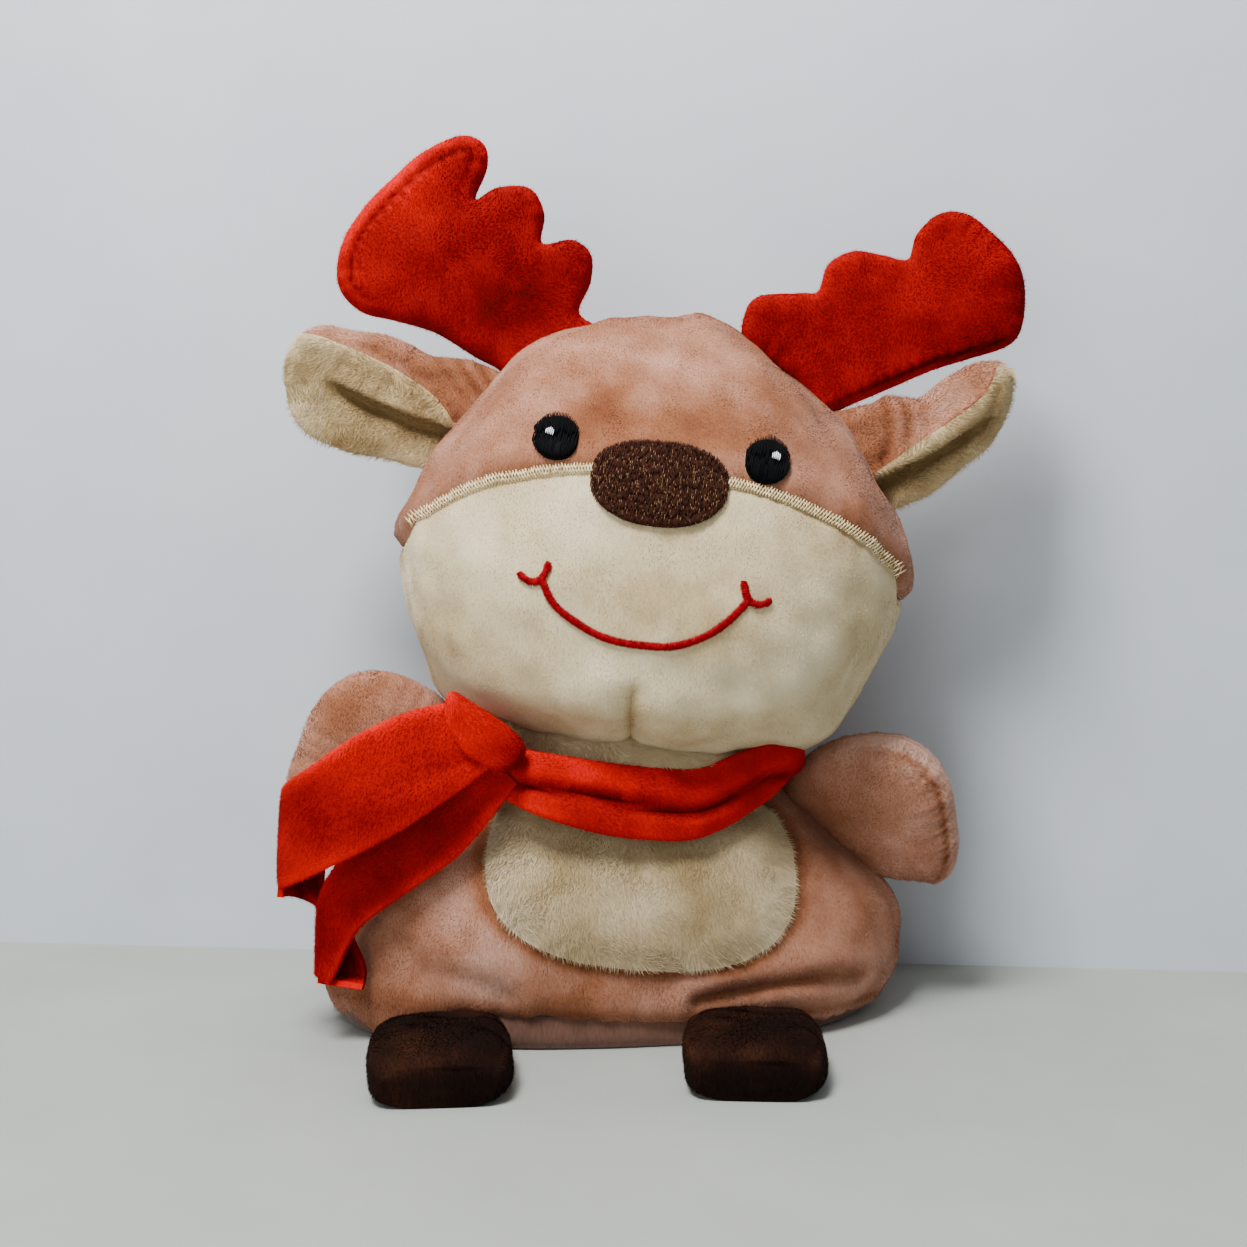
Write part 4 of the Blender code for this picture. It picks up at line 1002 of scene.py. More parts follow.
class Workshop:
    """What the sub-assemblies share: the recipes, the finishes made so far and the making of nap and thread."""

    def __init__(self) -> None:
        """Makes both recipes once."""
        self.nap = NapRecipe()
        self.stitches = StitchRecipe()
        self.finishes: dict[str, object] = {}

    def backing(self, cloth: Velboa) -> bpy.types.Material:
        """The ground of a napped cloth, made once."""
        name = f"{cloth.name}_ground"
        return self.finishes.get(name) or self.keep(name, cloth.backing())

    def plain(self, finish) -> bpy.types.Material:
        """A thread's or plain cloth's finish, made once."""
        return self.finishes.get(finish.name) or self.keep(finish.name, finish.material())

    def keep(self, name: str, made):
        """Remembers a finish by its name."""
        self.finishes[name] = made
        return made

    def fur(
        self,
        name: str,
        skin: Skin,
        cloth: Velboa,
        per_mm2: float,
        length: float = 0.7,
        width: float = 0.16,
        lean: float = 1.8,
        scatter: float = 0.32,
        patch: float = 24.0,
    ) -> bpy.types.Object:
        """Grows nap on a skin.

        Args:
            name: The new piece's name.
            skin: The cloth's outer face.
            cloth: Whose fibres.
            per_mm2: Fibres to a square millimetre.
            length: Of a fibre, in millimetres.
            width: Of a fibre, in millimetres: coarser than real microfibre, so that it shows.
            lean: How flat the fibres lie.
            scatter: How much they stray.
            patch: From one brushed patch to the next, in millimetres.

        Returns:
            The piece.
        """
        fibres = self.finishes.get(cloth.name) or self.keep(cloth.name, cloth.fibres())
        inputs = {
            "Density": per_mm2 / MM**2,
            "Fibre Length": length * MM,
            "Fibre Width": width * MM,
            "Lean": lean,
            "Scatter": scatter,
            "Nap Patch": patch * MM,
            "Seed": sum(ord(letter) for letter in name),
        }
        inputs |= {f"Shade {index}": fibre for index, fibre in enumerate(fibres)}
        return self.nap.run(skin.grid_mesh(name), name, inputs)

    def sew(
        self, name: str, middles: Array, along: Array, out: Array, reach: Array, finish: RayonThread, width: float,
        arch: float = 0.6,
    ) -> bpy.types.Object:
        """Lays stitches.

        Args:
            name: The new piece's name.
            middles: Each stitch's middle, in metres.
            along: Which way it runs.
            out: Which way it stands off the cloth.
            reach: Its length, in metres.
            finish: The thread.
            width: The thread's width, in millimetres.
            arch: How high the stitch arches, in thread widths.

        Returns:
            The piece.
        """
        mesh = bpy.data.meshes.new(name)
        mesh.from_pydata(np.asarray(middles).tolist(), [], [])
        for key, values in (("along", along), ("out", out)):
            store = mesh.attributes.new(key, "FLOAT_VECTOR", "POINT")
            store.data.foreach_set("vector", np.asarray(values).reshape(-1).astype(np.float32))
        mesh.attributes.new("reach", "FLOAT", "POINT").data.foreach_set("value", np.asarray(reach).astype(np.float32))
        inputs = {"Thread Width": width * MM, "Arch": arch, "Thread": self.plain(finish)}
        return self.stitches.run(mesh, name, inputs)

    def filling(
        self, node: str, body: str, slot: str, finish: PlainCloth, bumps: float = 0.35, inset: float = 0.0
    ) -> None:
        """Replaces a CAD filling by a lumpier copy of itself.

        Args:
            node: The CAD node.
            body: What it rides on.
            slot: Not used.
            finish: Its finish.
            bumps: The height of its lumps, in millimetres.
            inset: How much smaller it is all round, in millimetres.
        """
        edit = bmesh.new()
        edit.from_mesh(frame["nodes"][node].data)
        bmesh.ops.remove_doubles(edit, verts=edit.verts, dist=0.01 * MM)
        bmesh.ops.subdivide_edges(edit, edges=edit.edges, cuts=1, use_grid_fill=True)
        bmesh.ops.triangulate(edit, faces=edit.faces)
        places = np.array([vertex.co for vertex in edit.verts])
        heights = bumps * MM * (lumps(places, 9.0 * MM, 11) - 1.0) - inset * MM
        edit.normal_update()
        normals = np.array([vertex.normal for vertex in edit.verts])
        moved = places + normals * heights[:, None]
        faces = [tuple(vertex.index for vertex in face.verts) for face in edit.faces]
        edit.free()
        piece = solid_mesh(f"{node}_fibre", moved, faces, self.plain(finish))
        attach(piece, body)
        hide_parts(node)
        LOG.info("%s filled", node)


def dress(pieces: Sequence[bpy.types.Object], body: str, nodes: Sequence[str]) -> None:
    """Sets what pieces ride on and hides the CAD nodes that they stand for.

    Args:
        pieces: The pieces.
        body: What they ride on.
        nodes: The CAD nodes, or none.
    """
    for piece in pieces:
        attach(piece, body)
        if nodes:
            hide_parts(*nodes)
        LOG.info("%s on %s", piece.name, body)


# Sub-assemblies


TORSO_FORM = StuffedForm(
    (
        (0.125, 0.92, 0.92, 0.94),
        (0.21, 0.975, 0.975, 0.985),
        (0.32, 1.0, 1.0, 1.0),
        (0.44, 0.985, 0.985, 0.985),
        (0.56, 0.935, 0.94, 0.94),
        (0.68, 0.825, 0.86, 0.865),
        (0.80, 0.70, 0.765, 0.775),
        (0.90, 0.585, 0.67, 0.69),
        (0.96, 0.51, 0.60, 0.63),
        (1.0, 0.45, 0.55, 0.58),
    ),
    72.0 * MM,
    169.0 * MM,
    45.0 * MM,
    43.5 * MM,
)

HEAD_FORM = StuffedForm(
    (
        (0.0, 0.47, 0.49, 0.56),
        (0.04, 0.64, 0.68, 0.74),
        (0.13, 0.84, 0.885, 0.90),
        (0.27, 0.965, 0.99, 0.985),
        (0.44, 1.0, 1.0, 1.0),
        (0.60, 0.923, 0.943, 0.957),
        (0.69, 0.82, 0.876, 0.89),
        (0.77, 0.703, 0.77, 0.79),
        (0.845, 0.585, 0.648, 0.675),
        (0.91, 0.452, 0.505, 0.533),
        (0.96, 0.31, 0.35, 0.38),
        (0.99, 0.165, 0.19, 0.21),
        (1.0, 0.05, 0.06, 0.07),
    ),
    122.3 * MM,
    HEAD_WIDTH * MM,
    52.5 * MM,
    46.0 * MM,
)


def joint_place(name: str) -> Array:
    """Where the frame has a joint's pivot, in metres."""
    return np.array(next(joint for joint in frame["joints"] if joint["name"] == name)["pos_m"])


def lean_over(points: Array) -> Array:
    """Leans points with the torso, gently at the base and fully above it."""
    angle = math.radians(LEAN_DEGREES) * ease(0.0, 25.0 * MM, points[..., 2])
    x = points[..., 0] * np.cos(angle) + points[..., 2] * np.sin(angle)
    z = points[..., 2] * np.cos(angle) - points[..., 0] * np.sin(angle)
    return np.stack([x, points[..., 1], z], axis=-1)


@dataclass
class Base:
    """The flat base cloth under the torso and the bag of pellets inside it. Sizes are millimetres."""

    width: float = 150.0
    depth: float = 81.5
    top: float = 8.7
    corner: float = 1.8
    steps: int = 150

    def build(self, shop: Workshop) -> None:
        """Builds the base cloth, a dish with its mouth up, and its pellet bag.

        Args:
            shop: The workshop.
        """
        turns = np.linspace(0.0, 2.0 * math.pi, self.steps, endpoint=False)
        outline = np.stack([powered(np.cos(turns), 2.3), powered(np.sin(turns), 2.3)], axis=-1)
        rows = [(self.top, 0.0, 1.0), (self.top * 0.8, -0.35, 1.0), (self.top / 2.0, -0.6, 1.0)]
        rows += [(self.corner * 1.4, -0.35, 1.0), (self.corner, 0.0, 1.0), (self.corner * 0.3, 0.6, 1.0)]
        rows += [(0.0, self.corner, 1.0), (0.0, self.corner, 0.8), (0.0, self.corner, 0.5), (0.0, self.corner, 0.1)]
        rings = []
        for height, inset, share in rows:
            half = (np.array([self.width, self.depth]) / 2.0 - inset) * share
            ring = np.column_stack([outline * half, np.full(self.steps, height)]) * MM
            rings.append(ring)
        points = np.array(rings)
        wrinkle = 0.35 * lumps(points, 14.0 * MM, 4) * ease(0.5, 4.0, points[..., 2] / MM)
        points = lean_over(points)
        skin = Skin.of(points, points - np.array([0.0, 0.0, 6.0 * MM]), closed=True).raised(wrinkle * MM * 0.6)
        piece = cloth_mesh("base_gusset_cloth", skin, shop.plain(BASE_CLOTH))
        dress([piece], "torso", ["base_gusset"])
        shop.filling("pellet_bag", "torso", "pellet_cloth", PELLET_CLOTH, 0.15)


@dataclass
class Torso:
    """The torso's three cloths over their filling, the belly patch and the strip of it above the scarf."""

    seam_turn: float = math.radians(6.0)
    hem_drop: float = 6.5
    right_hem_share: float = 1.3
    angle_gap: float = 0.002
    fold: tuple[tuple[float, float], ...] = ((20.0, 15.0), (38.0, 20.0), (52.0, 22.5), (66.0, 22.0))
    patch_width: float = 84.0
    patch_bottom: float = 23.2
    patch_top: float = 65.5
    patch_x: float = 2.0
    patch_squareness: float = 2.5

    def relief(self, points: Array) -> Array:
        """How far the cloth stands off the plain form, in millimetres: seams, pleats, folds and lumps.

        Args:
            points: Places on the plain form, in metres.

        Returns:
            The height at each place.
        """
        x, y, z = np.moveaxis(points / MM, -1, 0)
        side = np.abs(y)
        front = y < 0.0
        total = 0.55 * lumps(points, 34.0 * MM, 21) + 0.2 * lumps(points, 13.0 * MM, 22)
        edge = np.abs(side - 4.0) * np.where(np.abs(x) > 30.0, 1.0, 9.0) + 0.2
        total += seam(edge) + puckers(z, edge, 6.5, 0.35)
        total += seam(z - 9.0, 1.1, 0.5) + puckers(x, z - 9.0, 8.0, 0.3)
        total += np.where(front, 0.0, seam(np.abs(x)) + puckers(z, x, 7.0, 0.25))
        crease = line_distance(np.stack([x, z], axis=-1), self.fold)
        total += np.where(front, 0.9 * hump(crease, 5.0, 3.5) - 1.4 * hump(crease, 0.0, 1.8), 0.0)
        tuck = line_distance(np.stack([x, z], axis=-1), ((-30.0, 14.0), (-55.0, 19.0), (-74.0, 30.0)))
        total += np.where(front, 0.5 * hump(tuck, 5.0, 4.0) - 0.7 * hump(tuck, 0.0, 2.5), 0.0)
        total -= (1.0 - ease(24.0, 44.0, z)) * (3.2 * ease(50.0, 76.0, -x) + 1.6 * ease(50.0, 76.0, x))
        inside = 1.0 - ease(0.95, 1.12, self.patch_ratio(x, z))
        return np.where(front, total * (1.0 - 0.75 * inside), total)

    def patch_ratio(self, x: Array, z: Array) -> Array:
        """How far out a place on the front view is from the patch's middle, 1 on its edge."""
        half = (self.patch_top - self.patch_bottom) / 2.0 * 1.15
        across = np.abs((x - self.patch_x) / (self.patch_width / 2.0))
        up = np.abs((z - self.patch_bottom - half) / half)
        return (across**self.patch_squareness + up**self.patch_squareness) ** (1.0 / self.patch_squareness)

    def panel(self, start: float, end: float, columns: int, rows: int) -> Skin:
        """One cloth of the torso between two angles, upright.

        Args:
            start: The first angle.
            end: The last angle.
            columns: Steps across.
            rows: Steps up.

        Returns:
            Its skin.
        """
        share, angle = np.meshgrid(np.linspace(0.0, 1.0, rows), np.linspace(start, end, columns), indexing="ij")
        points = TORSO_FORM.at(share, angle)
        facing = points - np.array([0.0, 0.0, 30.0 * MM])
        skin = Skin.of(points, facing)
        skin = skin.raised(self.relief(points) * MM)
        x, _, z = np.moveaxis(skin.points / MM, -1, 0)
        share = np.where(x < 0.0, self.right_hem_share, 1.0)
        hem = self.hem_drop * (1.0 - ease(9.0, 26.0, z)) * ease(40.0, 64.0, np.abs(x)) * share
        hem = hem + 1.5 * (1.0 - ease(10.0, 17.0, z))
        skin.points[..., 2] -= hem * MM
        return skin

    def patch_skin(self, steps: int = 150, rings: int = 34) -> Skin:
        """The belly patch, fullest inside its sewn edge.

        Args:
            steps: Round the patch.
            rings: From its edge to its middle.

        Returns:
            Its skin, upright.
        """
        turns = np.linspace(0.0, 2.0 * math.pi, steps, endpoint=False)
        half = (self.patch_top - self.patch_bottom) / 2.0 * 1.15
        edge_x = self.patch_width / 2.0 * powered(np.cos(turns), self.patch_squareness)
        edge_z = half * powered(np.sin(turns), self.patch_squareness)
        top = self.patch_top - self.patch_bottom - half
        shares = np.linspace(1.0, 0.03, rings)[:, None]
        x = self.patch_x + edge_x * shares
        z = self.patch_bottom + half + np.minimum(edge_z, top) * shares
        points, out = TORSO_FORM.front_at(x * MM, z * MM)
        inward = (1.0 - shares) * half
        lift = 0.7 + 1.25 * ease(-1.0, 7.0, inward) + puckers(turns * 30.0, inward, 7.0, 0.25)
        lift = lift + self.relief(points) + 0.3 * lumps(points, 22.0 * MM, 31) * ease(0.0, 8.0, inward)
        skin = Skin.of(points + out * lift[..., None] * MM, out, closed=True)
        centre = np.array([self.patch_x, 0.0, self.patch_bottom + half + 6.0]) * MM
        away = unit(skin.points - centre) * np.array([1.0, 0.0, 1.0])
        rim = 1.0 - ease(0.0, 6.0, inward)
        skin.growth = np.broadcast_to(1.0 + 0.9 * rim, inward.shape) * np.ones_like(x)
        # Painted highlight: the patch is lighter near its sewn edge.
        skin.tone = 0.5 * rim + 0.0 * x
        return skin.brushed(away * (0.35 + rim)[..., None] + np.array([0.0, 0.0, -0.6]), 0.7, 37)

    def neck_strip(self, start: float, end: float) -> Skin:
        """The top of the torso's cloth, brushed sideways, where it reaches the neck seam above the scarf.

        Args:
            start: The first angle round the neck.
            end: The last angle.

        Returns:
            Its skin.
        """
        turns, rise = np.meshgrid(np.linspace(start, end, 84), np.linspace(0.0, 1.0, 12))
        depth = np.where(np.sin(turns) < 0.0, 33.5, 27.0)
        x = 39.0 * np.cos(turns) + 1.0
        y = -4.0 + np.sign(np.sin(turns)) * depth * np.abs(np.sin(turns)) ** 0.9
        z = 69.0 + 13.5 * rise
        lean_in = 4.0 * (1.0 - rise) ** 2 + 5.0 * rise**2
        bulge = (lean_in - 2.0 * np.sin(math.pi * rise) - 0.5) * np.where(np.sin(turns) < 0.0, 1.0, -1.0)
        points = np.stack([x, y + bulge * np.minimum(1.0, 3.0 * np.abs(np.sin(turns))), z], axis=-1) * MM
        skin = Skin.of(points, points - np.array([0.0, 0.0, 70.0 * MM]))
        skin.growth = 1.0 + 0.0 * turns
        # Painted highlight: the strip is lighter half way up, where it bulges out.
        skin.tone = 0.6 * np.sin(math.pi * rise)
        return skin.brushed(np.array([0.75, -0.2, -0.8]), 0.8, 41)

    def build(self, shop: Workshop) -> None:
        """Builds the torso's cloths, patch, neck strip and filling.

        Args:
            shop: The workshop.
        """
        gap = self.angle_gap
        right, left = math.pi + self.seam_turn + gap, 2.0 * math.pi - self.seam_turn - gap
        back_right = (math.pi / 2.0 + gap, math.pi + self.seam_turn - gap)
        back_left = (-self.seam_turn + gap, math.pi / 2.0 - gap)
        panels = {
            "torso_front_panel": ((right, left), 190, 2.7),
            "torso_back_panel_left": (back_left, 70, 1.0),
            "torso_back_panel_right": (back_right, 70, 1.0),
        }
        for node, ((start, end), columns, density) in panels.items():
            skin = self.panel(start, end, columns, 64)
            x, _, z = np.moveaxis(skin.points / MM, -1, 0)
            ratio = self.patch_ratio(x, z)
            front = node == "torso_front_panel"
            hidden = (1.0 - ease(0.86, 0.9, ratio)) if front else 0.0 * x
            skin.growth = (1.0 - hidden) * ease(-1.0, 6.0, 74.0 - z)
            # Painted shade: the front cloth is darker along the belly patch's seam and in the fold, and every torso
            # cloth along the low seam.
            skin.tone = -1.3 * hump(ratio, 1.03, 0.06) * front - 0.9 * hump(z, 9.0, 2.5)
            crease = line_distance(np.stack([x, z], axis=-1), self.fold)
            skin.tone = skin.tone - 0.9 * hump(crease, 0.0, 2.5) * front
            skin.brushed(np.array([0.0, 0.0, -1.0]), 0.7, 50)
            skin = skin.leant()
            cloth = cloth_mesh(f"{node}_cloth", skin, shop.backing(TAN))
            nap = shop.fur(f"{node}_nap", skin, TAN, density)
            dress([cloth, nap], "torso", [node])
        patch = self.patch_skin().leant()
        cloth = cloth_mesh("belly_patch_cloth", patch, shop.backing(BELLY), 0.9 * MM)
        nap = shop.fur("belly_patch_nap", patch, BELLY, 5.5, 0.9)
        dress([cloth, nap], "torso", ["belly_patch"])
        strip = self.neck_strip(0.0, math.pi).placed(LEANING)
        cloth = cloth_mesh("torso_neck_back", strip, shop.backing(TAN))
        nap = shop.fur("torso_neck_back_nap", strip, TAN, 1.6)
        dress([cloth, nap], "torso", [])
        strip = self.neck_strip(-math.pi, 0.0).placed(LEANING)
        cloth = cloth_mesh("belly_neck_strip", strip, shop.backing(CREAM))
        nap = shop.fur("belly_neck_strip_nap", strip, CREAM, 6.5, 2.6, 0.24, 2.2, 0.5)
        dress([cloth, nap], "torso", [])
        shop.filling("torso_stuffing", "torso", "fibre_filling", FILLING, inset=4.2)
        shop.filling("neck_stuffing", "neck", "fibre_filling", FILLING, 0.15)


@dataclass
class Head:
    """The head's four cloths over their filling. Sizes are millimetres."""

    peak: float = 78.5
    drop: float = 23.5
    tab_drop: float = 4.5
    roundness: float = 2.5

    def seam_height(self, x: Array) -> Array:
        """The height of the seam between the tan face and the cream muzzle, in millimetres."""
        curve = self.peak - self.drop * np.abs(2.0 * x / HEAD_WIDTH) ** self.roundness
        return curve - self.tab_drop * ease(64.5, 71.0, np.abs(x))

    def relief(self, points: Array) -> Array:
        """How far the cloth stands off the plain form, in millimetres: seams, darts, cheeks and lumps.

        Args:
            points: Places on the plain form, in metres.

        Returns:
            The height at each place.
        """
        x, y, z = np.moveaxis(points / MM, -1, 0)
        front = y < 0.5
        side = np.abs(y)
        total = 0.6 * lumps(points, 36.0 * MM, 61) + 0.22 * lumps(points, 14.0 * MM, 62)
        upper = ease(25.0, 35.0, np.abs(x)) + ease(20.0, 40.0, side)
        total += (seam(side, 0.9, 0.5) + puckers(z, side, 6.5, 0.3)) * np.minimum(upper, 1.0)
        level = z - self.seam_height(x)
        covered = 1.0 - ease(0.95, 1.1, np.hypot(x / 17.5, (z - NOSE_Z) / 10.7))
        muzzle = (seam(level, 1.1, 0.8) + puckers(x, level, 7.0, 0.22)) * (1.0 - covered)
        total += np.where(front, muzzle, seam(np.abs(x), 0.9, 0.6) + puckers(z, x, 7.0, 0.25))
        dart = np.abs(x + 0.6) + 2.5 * ease(22.0, 28.0, z)
        low = 1.0 - ease(20.0, 30.0, z)
        total += np.where(front, low * (1.2 * hump(dart, 9.0, 7.0) - 1.9 * hump(dart, 0.0, 1.5)), 0.0)
        tab = ease(0.0, 2.2, level) * (1.0 - ease(4.0, 15.0, level)) * ease(58.0, 67.0, np.abs(x))
        tab = tab * ease(-28.0, -6.0, y)
        shoulder = 4.0 * hump(np.hypot(x + 40.0, z - 110.0), 0.0, 18.0)
        shoulder = shoulder - 1.4 * hump(np.hypot(x - 34.0, z - 116.0), 0.0, 19.0)
        shoulder = shoulder + 1.6 * hump(x, 6.0, 7.0) * ease(112.0, 120.0, z)
        cheek = hump(z, 29.0, 23.0) * (4.2 * ease(40.0, 64.0, x) + 2.8 * ease(40.0, 64.0, -x))
        tucked = (1.0 - ease(5.0, 19.0, z)) * (1.0 - ease(38.0, 52.0, np.abs(x))) * ease(4.0, -8.0, y)
        return total + 1.2 * tab * front + shoulder - cheek - 3.9 * tucked

    def front_at(self, x: Array, z: Array) -> tuple[Array, Array]:
        """The sewn surface behind places on the front view, in millimetres.

        Args:
            x: Places across.
            z: Places up.

        Returns:
            Points in metres and directions out of the cloth.
        """
        points, out = HEAD_FORM.front_at(np.asarray(x, float) * MM, np.asarray(z, float) * MM)
        return points + out * self.relief(points)[..., None] * MM, out

    def panel(self, angles: Array, lows: Array, highs: Array, rows: int) -> Skin:
        """A cloth of the head whose lower and upper edges follow given shares.

        Args:
            angles: Round the head.
            lows: The lowest share at each angle.
            highs: The highest share at each angle.
            rows: Steps up.

        Returns:
            Its skin.
        """
        steps = np.linspace(0.0, 1.0, rows)[:, None]
        share = lows + (highs - lows) * steps
        points = HEAD_FORM.at(share, np.broadcast_to(angles, share.shape))
        if highs[0] == 1.0:
            around = np.linspace(0.0, 2.0 * math.pi, 60, endpoint=False)
            pole = HEAD_FORM.at(np.ones(60), around).mean(axis=0)
            points[-1] = pole + (points[-1] - pole) * 0.03
        facing = points - np.array([0.0, 0.0, 60.0 * MM])
        return Skin.of(points, facing).raised(self.relief(points) * MM)

    def muzzle_shares(self, angles: Array) -> Array:
        """How far up the sections the muzzle's seam runs at each angle."""
        shares = np.linspace(0.3, 0.8, 400)[:, None]
        points = HEAD_FORM.at(shares, angles[None, :]) / MM
        above = points[..., 2] > self.seam_height(points[..., 0])
        return shares[np.argmax(above, axis=0), 0]

    def bare(self, x: Array, z: Array) -> Array:
        """Where embroidery covers the cloth: 1 under it, 0 away from it.

        Args:
            x: Places across, in millimetres.
            z: Places up, in millimetres.

        Returns:
            The cover at each place.
        """
        cover = np.zeros_like(x)
        for across, up in EYE_PLACES:
            cover = np.maximum(cover, 1.0 - ease(5.0, 6.0, np.hypot(x - across, z - up)))
        nose = np.hypot(x / 17.0, (z - NOSE_Z) / 10.2)
        cover = np.maximum(cover, 1.0 - ease(0.92, 1.02, nose))
        for line in Face.smile_lines():
            near = line_distance(np.stack([x, z], axis=-1), line)
            cover = np.maximum(cover, 1.0 - ease(0.6, 1.3, near))
        return np.maximum(cover, 1.0 - ease(0.7, 1.4, np.abs(z - self.seam_height(x))))

    def build(self, shop: Workshop) -> None:
        """Builds the head's cloths and filling.

        Args:
            shop: The workshop.
        """
        gap = CLOTH_GAP / HEAD_WIDTH
        front = np.linspace(math.pi + gap, 2.0 * math.pi - gap, 150)
        edge = self.muzzle_shares(front)
        back_left = np.linspace(gap, math.pi / 2.0 - gap, 70)
        back_right = back_left + math.pi / 2.0
        panels = {
            "muzzle_panel": (front, 0.0 * edge, edge - 0.0012, 60, CREAM, 3.0, 0.45),
            "face_panel": (front, edge + 0.0012, 0.0 * edge + 1.0, 60, TAN, 3.3, 0.45),
            "head_back_left": (back_left, 0.0 * back_left, 0.0 * back_left + 1.0, 64, TAN, 1.0, 0.8),
            "head_back_right": (back_right, 0.0 * back_right, 0.0 * back_right + 1.0, 64, TAN, 1.0, 0.8),
        }
        for node, (angles, lows, highs, rows, cloth, density, length) in panels.items():
            skin = self.panel(angles, lows, highs, rows)
            x, y, z = np.moveaxis(skin.points / MM, -1, 0)
            sewn = self.bare(x, z) * (y < 0.0)
            skin.growth = 1.0 - sewn
            # Painted shade: the front cloths are darker over the middle of the brow and above the deer's right eye, and
            # all head cloths along the side seams.
            painted_brow_shade = 1.2 * hump(z, 90.0, 8.0) * hump(x, 2.0, 17.0) + 0.9 * hump(np.hypot(x + 15.0, z - 93.0), 0.0, 6.0)
            level = np.abs(z - self.seam_height(x))
            skin.tone = -0.1 - 1.1 * painted_brow_shade * (y < 0.0) - 0.5 * hump(np.abs(y), 0.0, 2.5)
            if node == "muzzle_panel":
                # Painted shade: the muzzle is darker along its seam with the face, towards the bottom of the chin and
                # in the chin dart.
                dart = hump(x + 0.6, 0.0, 1.1) * (1.0 - ease(22.0, 27.0, z)) * (y < 0.0)
                skin.tone = 0.4 - 0.5 * hump(level, 0.0, 3.0) - 0.5 * (1.0 - ease(0.0, 12.0, z)) - 1.2 * dart
            way = np.stack([0.012 * x, 0.0 * x, -1.0 + 0.0 * x], axis=-1)
            skin.brushed(way, 0.9, 70)
            skin = skin.placed(HEAD_FRAME)
            piece = cloth_mesh(f"{node}_cloth", skin, shop.backing(cloth))
            nap = shop.fur(f"{node}_nap", skin, cloth, density, length)
            dress([piece, nap], "head", [node])
        shop.filling("head_stuffing", "head", "fibre_filling", FILLING, inset=5.2)


